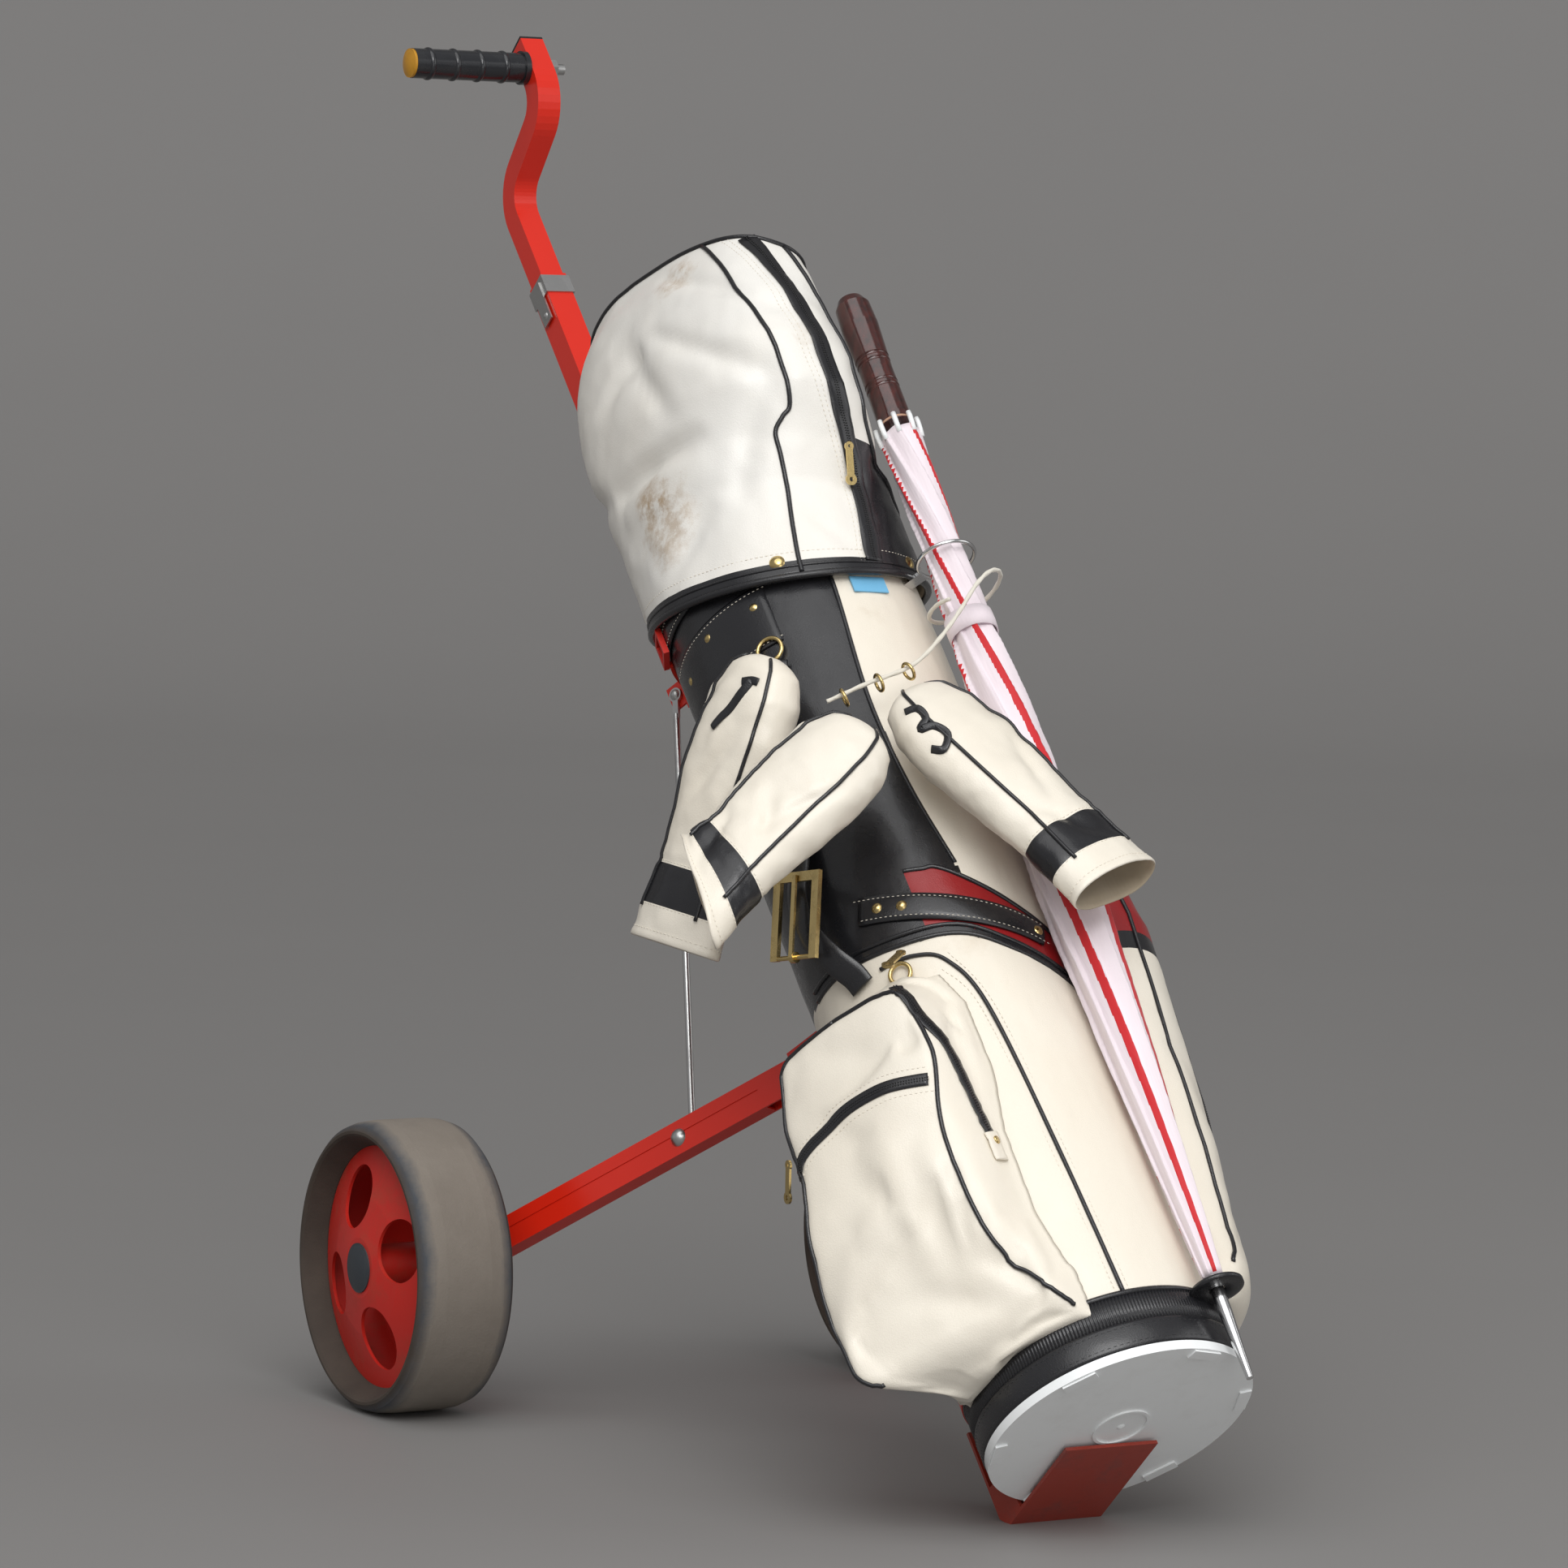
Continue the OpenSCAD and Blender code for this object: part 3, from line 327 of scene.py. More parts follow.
def makeStage():
    a, e, roll = (math.radians(stage[k]) for k in ("turn", "rise", "roll"))
    back = Vector((math.sin(a) * math.cos(e), -math.cos(a) * math.cos(e), math.sin(e)))
    flat = Vector((math.cos(a), math.sin(a), 0))
    over = back.cross(flat)
    right = flat * math.cos(roll) + over * math.sin(roll)
    up = over * math.cos(roll) - flat * math.sin(roll)
    data = bpy.data.cameras.new("camera")
    data.lens, data.sensor_width = stage["lens"], stage["sensor"]
    data.clip_start, data.clip_end = 0.1, 100
    camera = linked("camera", data)
    camera.matrix_world = Matrix((right, up, back)).transposed().to_4x4()
    x, y, z = stage["eye"]
    camera.location = Vector((x, y - midY, z)) / 1000
    bpy.context.scene.camera = camera
    half, wall, bend, steps = stage["floor"] / 2, stage["wall"], stage["bend"], stage["bendSteps"]
    arc = [k * math.pi / (2 * steps) for k in range(steps + 1)]
    profile = [(-half, 0)] + [(wall + bend * math.sin(t), bend - bend * math.cos(t)) for t in arc]
    profile.append((wall + bend, half))
    verts = [(side * half * math.cos(a) - y * math.sin(a), side * half * math.sin(a) + y * math.cos(a), z)
             for y, z in profile for side in (-1, 1)]
    mesh = bpy.data.meshes.new("floor")
    mesh.from_pydata(verts, [], [(2 * k, 2 * k + 1, 2 * k + 3, 2 * k + 2) for k in range(len(profile) - 1)])
    mesh.polygons.foreach_set("use_smooth", [True] * len(mesh.polygons))
    look = Look("floor", 0.6)
    look.colour(look.mix(look.noise(1.2, 3) * 0.3, *stage["tones"]))
    mesh.materials.append(look.mat)
    linked("floor", mesh)
    world = bpy.data.worlds.new("studio")
    bpy.context.scene.world = world
    world.use_nodes = True
    air = world.node_tree.nodes["Background"].inputs
    air["Color"].default_value, air["Strength"].default_value = stage["air"], stage["airPower"]
    bpy.context.scene.view_settings.view_transform = "Standard"
    sun = bpy.data.lights.new("sky", "SUN")
    sun.energy, sun.angle = stage["skyPower"], math.radians(stage["skyBlur"])
    linked("sky", sun).rotation_euler = (*(math.radians(t) for t in stage["skyTilt"]), 0)
    for name, at, size, power in stage["lamps"]:
        lamp = bpy.data.lights.new(name, "AREA")
        lamp.size, lamp.energy = size, power
        holder = linked(name, lamp)
        holder.location = at
        holder.rotation_euler = (Vector(stage["aim"]) - Vector(at)).to_track_quat("-Z", "Y").to_euler()


makeStage()
print("stage set")

# Makers: every piece's place is in its mesh


def addPiece(name, verts, faces, mats, which=None):
    mesh = bpy.data.meshes.new(name)
    mesh.from_pydata([tuple(v) for v in verts], [], faces)
    for mat in mats:
        mesh.materials.append(looks[mat])
    if which is not None:
        mesh.polygons.foreach_set("material_index", which)
    mesh.polygons.foreach_set("use_smooth", [True] * len(mesh.polygons))
    mesh.update()
    return linked(name, mesh)


def finishPiece(piece, body="cart_frame", replaced=()):
    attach(piece, body)
    if replaced:
        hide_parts(*replaced)
    return piece


def faceOutwards(piece):
    bm = bmesh.new()
    bm.from_mesh(piece.data)
    bmesh.ops.recalc_face_normals(bm, faces=bm.faces)
    bm.to_mesh(piece.data)
    bm.free()
    piece.data.update()
    return piece


def treeOf(piece):
    return BVHTree.FromPolygons([v.co for v in piece.data.vertices], [p.vertices for p in piece.data.polygons])


def onto(tree, point, lift):  # nearest place on a surface, lifted off it
    found, normal, _, _ = tree.find_nearest(point)
    return found + normal * (lift / 1000)


def loft(rings, join=False):  # closed rings of equal count, turning anticlockwise
    n, count = len(rings[0]), len(rings)
    verts = [p for ring in rings for p in ring]
    faces = []
    for a in range(count if join else count - 1):
        b = (a + 1) % count
        for i in range(n):
            j = (i + 1) % n
            faces.append((a * n + i, a * n + j, b * n + j, b * n + i))
    if not join:
        faces.append(tuple(reversed(range(n))))
        faces.append(tuple((count - 1) * n + i for i in range(n)))
    return verts, faces


def sealed(name, rings, mat, body, replaced, join=False):
    return finishPiece(faceOutwards(addPiece(name, *loft(rings, join), [mat])), body, replaced)


def frames(points, closed):  # two vectors square to a line, carried along it without twist
    n = len(points)
    ways = []
    for k in range(n):
        a = points[(k - 1) % n] if closed else points[max(k - 1, 0)]
        b = points[(k + 1) % n] if closed else points[min(k + 1, n - 1)]
        ways.append((b - a).normalized())
    side = ways[0].orthogonal().normalized()
    out = []
    for way in ways:
        side = (side - way * side.dot(way)).normalized()
        out.append((side, way.cross(side)))
    return out


def tubes(name, lines, radius, mat="black_vinyl", body="cart_frame", sides=8, closed=False,
          replaced=(), lobes=0.0, twist=0.0):
    verts, faces = [], []
    for line in lines:
        rings = []
        for k, (p, (u, v)) in enumerate(zip(line, frames(line, closed))):
            ring = []
            for i in range(sides):
                a = 2 * math.pi * i / sides
                r = radius * (1 + lobes * math.cos(2 * a + k * twist)) / 1000
                ring.append(p + u * (r * math.cos(a)) + v * (r * math.sin(a)))
            rings.append(ring)
        moreVerts, moreFaces = loft(rings, closed)
        start = len(verts)
        verts += moreVerts
        faces += [tuple(start + i for i in f) for f in moreFaces]
    return finishPiece(addPiece(name, verts, faces, [mat]), body, replaced)


strapShape = [(-0.5, 0.25), (-0.47, 0.85), (-0.25, 1.25), (0, 1.35), (0.25, 1.25), (0.47, 0.85), (0.5, 0.25),
              (0.46, 0), (-0.46, 0)]  # shares of the width and the thickness


def wayAt(line, k):
    return (line[min(k + 1, len(line) - 1)] - line[max(k - 1, 0)]).normalized()


def ribbon(name, line, outs, width, thick, mat="black_vinyl", body="cart_frame", replaced=()):
    rings = []
    for k, (p, out) in enumerate(zip(line, outs)):
        way = wayAt(line, k)
        out = (out - way * out.dot(way)).normalized()
        side = out.cross(way)
        rings.append([p + side * (width * x / 1000) + out * (thick * y / 1000) for x, y in strapShape])
    return sealed(name, rings, mat, body, replaced)


def rowTree():  # the same small bead, set out along lines at a fixed spacing
    tree = bpy.data.node_groups.new("rowAlongLine", "GeometryNodeTree")
    new, link = tree.nodes.new, tree.links.new

    def socket(label, kind, way="INPUT"):
        return tree.interface.new_socket(label, in_out=way, socket_type="NodeSocket" + kind).identifier

    socket("Line", "Geometry")
    sizes = {label: socket(label, "Float") for label in ("Spacing", "Length", "Width", "Height")}
    sizes["Finish"] = socket("Finish", "Material")
    socket("Row", "Geometry", "OUTPUT")
    start, end, size = new("NodeGroupInput"), new("NodeGroupOutput"), new("ShaderNodeCombineXYZ")
    turned = new("FunctionNodeAlignRotationToVector")
    curve, spaced, bead, tangent, copies, real, finish = (
        new("GeometryNode" + kind) for kind in ("MeshToCurve", "ResampleCurve", "MeshUVSphere", "InputTangent",
                                                "InstanceOnPoints", "RealizeInstances", "SetMaterial"))
    spaced.mode, turned.axis = "LENGTH", "X"
    for key, value in (("Segments", 6), ("Rings", 4), ("Radius", 0.5)):
        bead.inputs[key].default_value = value
    for label, axis in (("Length", "X"), ("Width", "Y"), ("Height", "Z")):
        link(start.outputs[label], size.inputs[axis])
    for source, out, node, into in ((start, "Line", curve, 0), (curve, 0, spaced, "Curve"),
                                    (start, "Spacing", spaced, "Length"), (tangent, 0, turned, "Vector"),
                                    (spaced, 0, copies, "Points"), (bead, "Mesh", copies, "Instance"),
                                    (turned, 0, copies, "Rotation"), (size, 0, copies, "Scale"),
                                    (copies, 0, real, 0), (real, 0, finish, "Geometry"),
                                    (start, "Finish", finish, "Material"), (finish, 0, end, "Row")):
        link(source.outputs[out], node.inputs[into])
    return tree, sizes


rowGroup, rowInputs = rowTree()
stitches = {"collar": (5.2, 3.4, 0.8, 0.8), "barrel": (4.6, 2.8, 0.7, 0.6), "teeth": (2.2, 1.3, 2.0, 1.1),
            "pocket": (4.2, 2.6, 0.7, 0.6), "hood": (4.4, 2.8, 0.7, 0.7)}  # spacing, length, width, height


def beads(name, lines, kind, mat="cream_vinyl", body="cart_frame"):  # stitches and zip teeth
    verts, edges = [], []
    for line in lines:
        edges += [(len(verts) + k, len(verts) + k + 1) for k in range(len(line) - 1)]
        verts += [tuple(p) for p in line]
    mesh = bpy.data.meshes.new(name + "Line")
    mesh.from_pydata(verts, edges, [])
    piece = linked(name, mesh)
    rows = piece.modifiers.new("row", "NODES")
    rows.node_group = rowGroup
    for label, value in zip(("Spacing", "Length", "Width", "Height"), stitches[kind]):
        rows[rowInputs[label]] = value / 1000
    rows[rowInputs["Finish"]] = looks[mat]
    bpy.context.view_layer.update()
    made = bpy.data.meshes.new_from_object(piece.evaluated_get(bpy.context.evaluated_depsgraph_get()))
    piece.modifiers.remove(rows)
    piece.data = made
    bpy.data.meshes.remove(mesh)
    made.polygons.foreach_set("use_smooth", [True] * len(made.polygons))
    return finishPiece(piece, body)


# The string: first of all, from the head covers' rings up round the umbrella to its knot

stringSet = {"thick": 4.0, "lobes": 0.1, "twist": 0.55, "sides": 12, "step": 0.0015}
stringRoute = [(-84, -246, 640), (-72, -254, 641), (-58, -262, 643), (-44, -268, 645), (-30, -271, 648),
               (-16, -274, 652), (0, -278, 660), (16, -284, 672), (32, -290, 686), (46, -296, 700),
               (58, -300, 713), (70, -302, 724), (84, -300, 734), (98, -292, 741), (108, -279, 745),
               (111, -263, 746), (107, -247, 745), (97, -234, 743), (83, -227, 740), (67, -228, 737),
               (54, -237, 734), (48, -250, 731), (48, -264, 728), (50, -278, 722)]
stringPath = evenly(smooth([place(*p) for p in stringRoute]), stringSet["step"])
string = tubes("coverString", [stringPath], stringSet["thick"] / 2 / (1 + stringSet["lobes"]), "white_string",
               sides=stringSet["sides"], replaced=("cover_string",), lobes=stringSet["lobes"],
               twist=stringSet["twist"])
stringLength = sum((b - a).length for a, b in zip(stringPath, stringPath[1:]))
print("string", round(stringLength, 4))

# Bag barrel: vinyl panels, piping and collar

barrelSet = {"around": 240, "step": 3.0, "wall": 4.5, "floor": 30.0, "low": 24.0, "pucker": 1.0,
             "piping": 1.9, "seam": 2.0, "binding": 9.0, "footTop": 62, "redFrom": -33, "redTo": 140, "back": 120}
lowerEdge = [(-130, 440), (-78, 432), (-20, 413), (25, 366), (60, 335), (130, 335)]  # angle, lower panel's top
redEdge = [(-33, 484), (-18, 478), (13, 433), (40, 400)]
splitEdge = [(430, -6), (480, -10), (560, -16), (652, -18), (768, -13), (850, -12)]  # height, black to cream


def panelAt(angle, up):  # 0 cream, 1 black, 2 red
    edge = upDown(lowerEdge, angle)
    if up < barrelSet["footTop"]:
        return 1
    if up < edge:
        return 0
    if up < edge + barrelSet["binding"]:
        return 1
    if barrelSet["redFrom"] < angle < barrelSet["redTo"] and up < upDown(redEdge, angle):
        return 2
    return 1 if angle < upDown(splitEdge, up) or angle > barrelSet["back"] else 0


def makeBarrel():
    count, r, top, floor = barrelSet["around"], cart["bagR"], cart["mouth"], barrelSet["floor"]
    inner = r - barrelSet["wall"]
    rows = [(barrelSet["low"], r)]
    while rows[-1][0] < top - 4:
        rows.append((rows[-1][0] + barrelSet["step"], r))
    outside = len(rows)
    rows += [(top, r - 1.2), (top, inner + 1)]
    up = top - 6
    while up > floor:
        rows.append((up, inner))
        up -= 30
    rows.append((floor, inner))
    rings, which = [], []
    for k, (up, rad) in enumerate(rows):
        ring = []
        for i in range(count):
            angle = i * 360 / count - 180
            p = onBag(angle, up, rad)
            soft = bump(p, 14) * 0.7 + bump((p.x * 3, p.y, p.z), 30) * 0.3
            ring.append(onBag(angle, up, rad + barrelSet["pucker"] * soft if k < outside else rad))
        rings.append(ring)
    for (low, _), (high, _), k in zip(rows, rows[1:], range(len(rows))):
        which += [3 if k >= outside else panelAt((i + 0.5) * 360 / count - 180, 0.5 * (low + high))
                  for i in range(count)]
    mats = ["cream_vinyl", "black_vinyl", "red_vinyl", "lining"]
    finishPiece(addPiece("bagBarrel", *loft(rings), mats, which + [1, 3]), replaced=("bag_body",))


def barrelLine(points, lift=0.6):  # points of height and angle
    return [onBag(q.y, q.x, cart["bagR"] + lift) for q in smooth([(t, a, 0) for t, a in points])]


def spun(name, profile, count=144, replaced=(), ribs=0, depth=0.0):  # heights, and distances off the barrel
    rings = []
    for i in range(count):
        angle = 360 * i / count
        extra = depth * math.cos(math.radians(angle * ribs)) if ribs else 0
        rings.append([onBag(angle, up, cart["bagR"] + off + (extra if off > 0.5 else 0)) for up, off in profile])
    sealed(name, rings, "black_vinyl", "cart_frame", replaced, True)


makeBarrel()
spun("collarLeather", [(13.5, 0.1), (13.5, 1.8), (16, 2.6), (34, 2.6), (37, 1.6), (37, 0.1)],
     replaced=("base_collar",))
spun("collarWebbing", [(36, 0.1), (36, 1.6), (48, 1.9), (60.5, 1.6), (61.2, 0.1)], 960, ribs=240, depth=0.35)
spun("collarWelt", [(60, 0.1), (60, 2), (62, 2.8), (64, 2), (64, 0.1)])
tubes("frontPiping", [barrelLine([(60, -14), (206, -16.5), (342, -21), (392, -30), (407, -42), (411, -58)])],
      barrelSet["piping"])
edgeAngles = [-100, -78, -50, -20, 0, 20, 40, 60]
redAngles = [-33, -25, -18, 0, 13, 26, 40]
tubes("panelPiping", [barrelLine([(upDown(lowerEdge, a), a) for a in edgeAngles], 0.3),
                      barrelLine([(upDown(lowerEdge, a) + barrelSet["binding"], a) for a in edgeAngles], 0.2),
                      barrelLine([(upDown(redEdge, a), a) for a in redAngles], 0.2),
                      barrelLine([(up, upDown(splitEdge, up)) for up in (480, 560, 652, 768, 845)], 0.1)],
      barrelSet["seam"])
collarRows = [[onBag(a * 2, up, cart["bagR"] + 2.5) for a in range(180)] for up in (18, 32)]
beads("collarStitches", collarRows, "collar", "black_vinyl")
beads("barrelStitches", [barrelLine([(60, -17), (206, -19.5), (342, -24), (385, -33)], 0.3),
                         barrelLine([(60, -11), (206, -13.5), (342, -18), (398, -28)], 0.3)], "barrel")
print("barrel made")

# Pockets

ballSet = {"low": 50.0, "high": 382.0, "rounding": 30.0, "left": -107.0, "swell": 7.0, "wrinkle": 1.8,
           "rows": 84, "pressure": 3.0, "most": 6.0}
ballLeft = [(50, -93, 190), (66, -97, 205), (84, -99, 211), (131, -99.5, 214), (201, -94, 214), (249, -91, 206),
            (307, -94, 199), (353, -92, 188), (382, -84, 176)]  # height, angle and radius of the left edge
ballRight = [(50, -33, 122), (75, -40, 133), (101, -48, 142), (150, -52, 152), (229, -51, 160), (292, -45, 163),
             (350, -46, 166), (382, -52, 164)]
ballCreases = [(-62, 255, -66, 120, -5, 14), (-74, 250, -78, 110, -3.5, 16), (-52, 240, -58, 150, -5, 9),
               (-40, 215, -46, 110, -5, 9), (-36, 300, -42, 190, -3, 8), (-84, 120, -60, 84, -4, 12),
               (-58, 130, -44, 82, -4.5, 9), (-78, 350, -58, 310, -2.5, 12), (-90, 200, -80, 140, -3, 10)]
clothSet = {"mass": 0.4, "stretch": 25, "bend": 2.0, "quality": 5, "frames": 16, "sewn": 8.0}


def flatPoint(angle, r):
    a = math.radians(angle)
    return Vector((r * math.sin(a), r * math.cos(a)))


def roundOut(points, count, passes):  # an open outline, evenly spaced and rounded
    line = evenly([Vector((p.x, p.y, 0)) for p in points], 1.0)
    line = [line[round(i * (len(line) - 1) / (count - 1))] for i in range(count)]
    for _ in range(passes):
        inner = [line[i] * 0.5 + (line[i - 1] + line[i + 1]) * 0.25 for i in range(1, count - 1)]
        line = [line[0]] + inner + [line[-1]]
    return line


def closing(d, reach):  # 0 at an end, 1 once reach away from it
    if d >= reach:
        return 1.0
    return (1 - (1 - max(d, 0) / reach) ** 2.4) ** (1 / 2.2)


def crease(point, start, end, depth, width, margin=0.1):  # a soft fold between two places, deepest midway
    (ax, ay), (bx, by) = start, end
    px, py = point[0] - ax, point[1] - ay
    share = min(max((px * (bx - ax) + py * (by - ay)) / ((bx - ax) ** 2 + (by - ay) ** 2), 0), 1)
    away = math.hypot(px - share * (bx - ax), py - share * (by - ay))
    return depth * math.exp(-(away / width) ** 2) * math.sin(math.pi * (margin + (1 - 2 * margin) * share))


def spread(sizes):  # heights, close together near both ends, and how full the pocket is there
    low, high, rows = sizes["low"], sizes["high"], []
    for k in range(sizes["rows"] + 1):
        u = k / sizes["rows"]
        up = low + (high - low) * (u - math.sin(2 * math.pi * u) * 0.1)
        rows.append((up, closing(min(up - low, high - up) + 0.4, sizes["rounding"])))
    return rows


def pocketSolid(name, sizes, outline, creases, mats, panel=None, innerCount=20):
    rings, which, near, rows = [], [], cart["bagR"] + 0.5, spread(sizes)
    for up, share in rows:
        outer = [(math.degrees(math.atan2(q.x, q.y)), math.hypot(q.x, q.y)) for q in outline(up)]
        ring = []
        for a, r in outer:
            p = onBag(a, up, r)
            folds = sum(crease((a * 3, up), (a0 * 3, t0), (a1 * 3, t1), depth, width)
                        for a0, t0, a1, t1, depth, width in creases)
            soft = sizes["wrinkle"] * (bump(p, 11) + 0.45 * bump(p, 27)) + folds
            soft = min(soft, 2.5) * min(1, max(0, r - near) / 30)
            ring.append(onBag(a, up, near + max(0, r - near + soft) * share))
        first, last = outer[0][0], outer[-1][0]
        ring += [onBag(last + (first - last) * i / innerCount, up, near) for i in range(1, innerCount)]
        rings.append(ring)
    if panel:
        n = len(rings[0])
        for (low, _), (high, _) in zip(rows, rows[1:]):
            which += [panel(0.5 * (low + high))] * n
        which += [0, 0]
    piece = addPiece(name, *loft(rings), mats, which or None)
    puff(piece, sizes["pressure"], sizes["most"])
    return piece


def puff(piece, pressure, most):  # cloth simulation: the pocket swells a little between its seams
    rest = [v.co.copy() for v in piece.data.vertices]
    pins = piece.vertex_groups.new(name="sewn")
    for i, co in enumerate(rest):
        if barrelDistance(co) < cart["bagR"] + clothSet["sewn"]:
            pins.add([i], 1.0, "REPLACE")
    soft = piece.modifiers.new("cloth", "CLOTH")
    soft.settings.use_pressure = True
    soft.settings.uniform_pressure_force = pressure
    soft.settings.quality = clothSet["quality"]
    soft.settings.mass = clothSet["mass"]
    soft.settings.tension_stiffness = soft.settings.compression_stiffness = clothSet["stretch"]
    soft.settings.bending_stiffness = clothSet["bend"]
    soft.settings.vertex_group_mass = "sewn"
    soft.settings.effector_weights.gravity = 0
    soft.point_cache.frame_start, soft.point_cache.frame_end = 1, clothSet["frames"] + 4
    scene = bpy.context.scene
    for step in range(clothSet["frames"]):
        scene.frame_set(step + 1)
    moved = [v.co.copy() for v in piece.evaluated_get(bpy.context.evaluated_depsgraph_get()).data.vertices]
    piece.modifiers.remove(soft)
    piece.vertex_groups.clear()
    scene.frame_set(1)
    for v, a, b in zip(piece.data.vertices, rest, moved):
        step = b - a
        v.co = a + (step if step.length < most / 1000 else step.normalized() * (most / 1000))
    piece.data.update()


def barrelDistance(co):  # millimetres from the bag's axis
    y, z = co.y * 1000 + midY, co.z * 1000
    return math.hypot(co.x * 1000, y * leanCos - z * leanSin - cart["bagY"])


def edgeAt(table, up):
    return flatPoint(*(upDown([(q[0], q[k]) for q in table], up) for k in (1, 2)))


def ballOutline(up):
    a, b = edgeAt(ballLeft, up), edgeAt(ballRight, up)
    rightAngle = upDown([(q[0], q[1]) for q in ballRight], up)
    near = cart["bagR"] + 0.5
    out = Vector(((b - a).y, -(b - a).x)).normalized()
    out = out if out.dot(a + b) > 0 else -out
    middle = (a + b) / 2 + out * ballSet["swell"]
    quarter = a.lerp(b, 0.2) + out * ballSet["swell"] * 0.75
    other = a.lerp(b, 0.8) + out * ballSet["swell"] * 0.7
    ends = flatPoint(ballSet["left"], near), flatPoint(min(-29, rightAngle + 17), near)
    return roundOut([ends[0], a, quarter, middle, other, b, ends[1]], 72, 7)


def pathOn(tree, points, lift, steps=8):  # points of height, angle and radius, laid on a surface
    return [onto(tree, onBag(q.y, q.x, q.z), lift) for q in smooth(points, steps)]


def normalsOn(tree, line):
    return [tree.find_nearest(p)[1] for p in line]


def edgePath(table, low, high):
    return [q for q in table if low <= q[0] <= high]


zipSet = {"tape": 0.9, "width": 11.0, "hoodWidth": 17.0, "apart": 1.1, "off": 0.0014}


def makeZip(name, tree, line, body="cart_frame", width=zipSet["width"]):  # tape with two rows of teeth
    outs = normalsOn(tree, line)
    ribbon(name + "Tape", line, outs, width, zipSet["tape"], body=body)
    rows = [[p + out.cross(wayAt(line, k)).normalized() * (sign * zipSet["apart"] / 1000) + out * zipSet["off"]
             for k, (p, out) in enumerate(zip(line, outs))] for sign in (-1, 1)]
    beads(name + "Teeth", rows, "teeth", "black_plastic", body)


ballPocket = pocketSolid("ballPocket", ballSet, ballOutline, ballCreases, ["cream_vinyl"])
finishPiece(ballPocket, replaced=("ball_pocket",))
ballTree = treeOf(ballPocket)
leftPipe = [(60, -93, 190)] + edgePath(ballLeft, 75, 353) + [(368, -84, 178), (374, -70, 172)]
rightPipe = [(58, -34, 124)] + edgePath(ballRight, 75, 350) + [(366, -54, 166), (374, -70, 172)]
tubes("ballPiping", [pathOn(ballTree, leftPipe, 0.7), pathOn(ballTree, rightPipe, 0.7)], barrelSet["piping"])
ballZip = [(255, -93, 205), (272, -88, 200), (282, -76, 180), (280, -62, 170), (270, -49, 168)]
makeZip("ballZip", ballTree, pathOn(ballTree, ballZip, 0.4))
aboveZip = [(268, -93, 205), (284, -87, 198), (293, -76, 180), (291, -62, 170), (281, -49, 168)]
belowZip = [(243, -93, 205), (261, -88, 200), (271, -76, 180), (269, -62, 170), (259, -49, 168)]
beads("ballStitches", [pathOn(ballTree, aboveZip, 0.2), pathOn(ballTree, belowZip, 0.2)], "pocket")
gusset = [(372, -47, 160), (330, -44, 158), (294, -39, 150), (250, -36, 143), (214, -34, 135)]
makeZip("gussetZip", ballTree, pathOn(ballTree, gusset, 0.5), width=12.0)
tab = pathOn(ballTree, [(220, -34.6, 136), (210, -34, 134), (196, -33.4, 132)], 0.6, 5)
tabOuts = normalsOn(ballTree, tab)
ribbon("gussetTab", tab, tabOuts, 17, 2.2, "cream_vinyl")
tubes("tabRivet", [[tab[4] + tabOuts[4] * lift for lift in (0.002, 0.0030, 0.0038)]], 3.4, "brass", sides=20)
print("ball pocket made")

garmentSet = {"low": 64.0, "high": 694.0, "rounding": 40.0, "wrinkle": 1.6, "rows": 120, "pressure": 2.0,
              "most": 3.0, "red": (410, 498), "black": ((396, 410), (498, 536)), "seam": 0.83}
garmentRings = [(64, 76, 33, 138), (95, 77, 34, 143), (130, 88, 41, 150), (260, 90, 45, 168), (430, 90, 45, 182),
                (560, 90, 42, 174), (650, 90, 36, 162), (694, 90, 28, 146)]  # height, middle, half angle, radius
garmentCreases = [(60, 300, 75, 180, -4, 14), (100, 420, 112, 260, -5, 14), (84, 620, 96, 500, -4, 14)]


def garmentOutline(up):
    middle, half, out = (upDown([(q[0], q[k]) for q in garmentRings], up) for k in (1, 2, 3))
    near = cart["bagR"] + 0.5
    points = []
    for i in range(61):
        a = -1 + i / 30
        points.append(flatPoint(middle + half * a, near + (out - near) * max(0, 1 - abs(a) ** 4) ** 0.5))
    return points


def garmentPanel(up):  # 0 cream, 1 black, 2 red
    if any(low < up < high for low, high in garmentSet["black"]):
        return 1
    low, high = garmentSet["red"]
    return 2 if low <= up <= high else 0


garmentPocket = pocketSolid("garmentPocket", garmentSet, garmentOutline, garmentCreases,
                            ["cream_vinyl", "black_vinyl", "red_vinyl"], garmentPanel)
finishPiece(garmentPocket, replaced=("garment_pocket",))
garmentTree = treeOf(garmentPocket)
for name, side in (("garmentPipingFront", -garmentSet["seam"]), ("garmentPipingBack", garmentSet["seam"])):
    line = [(q[0], q[1] + q[2] * side, q[3] - 14) for q in garmentRings[1:-1]]
    tubes(name, [pathOn(garmentTree, line, 0.6)], barrelSet["piping"])
garmentZip = [(660, 78, 160), (560, 76, 174), (430, 72, 182), (300, 72, 170), (190, 74, 158)]
makeZip("garmentZip", garmentTree, pathOn(garmentTree, garmentZip, 0.4))
print("garment pocket made")

# Hood: padded vinyl shell over the bag's mouth

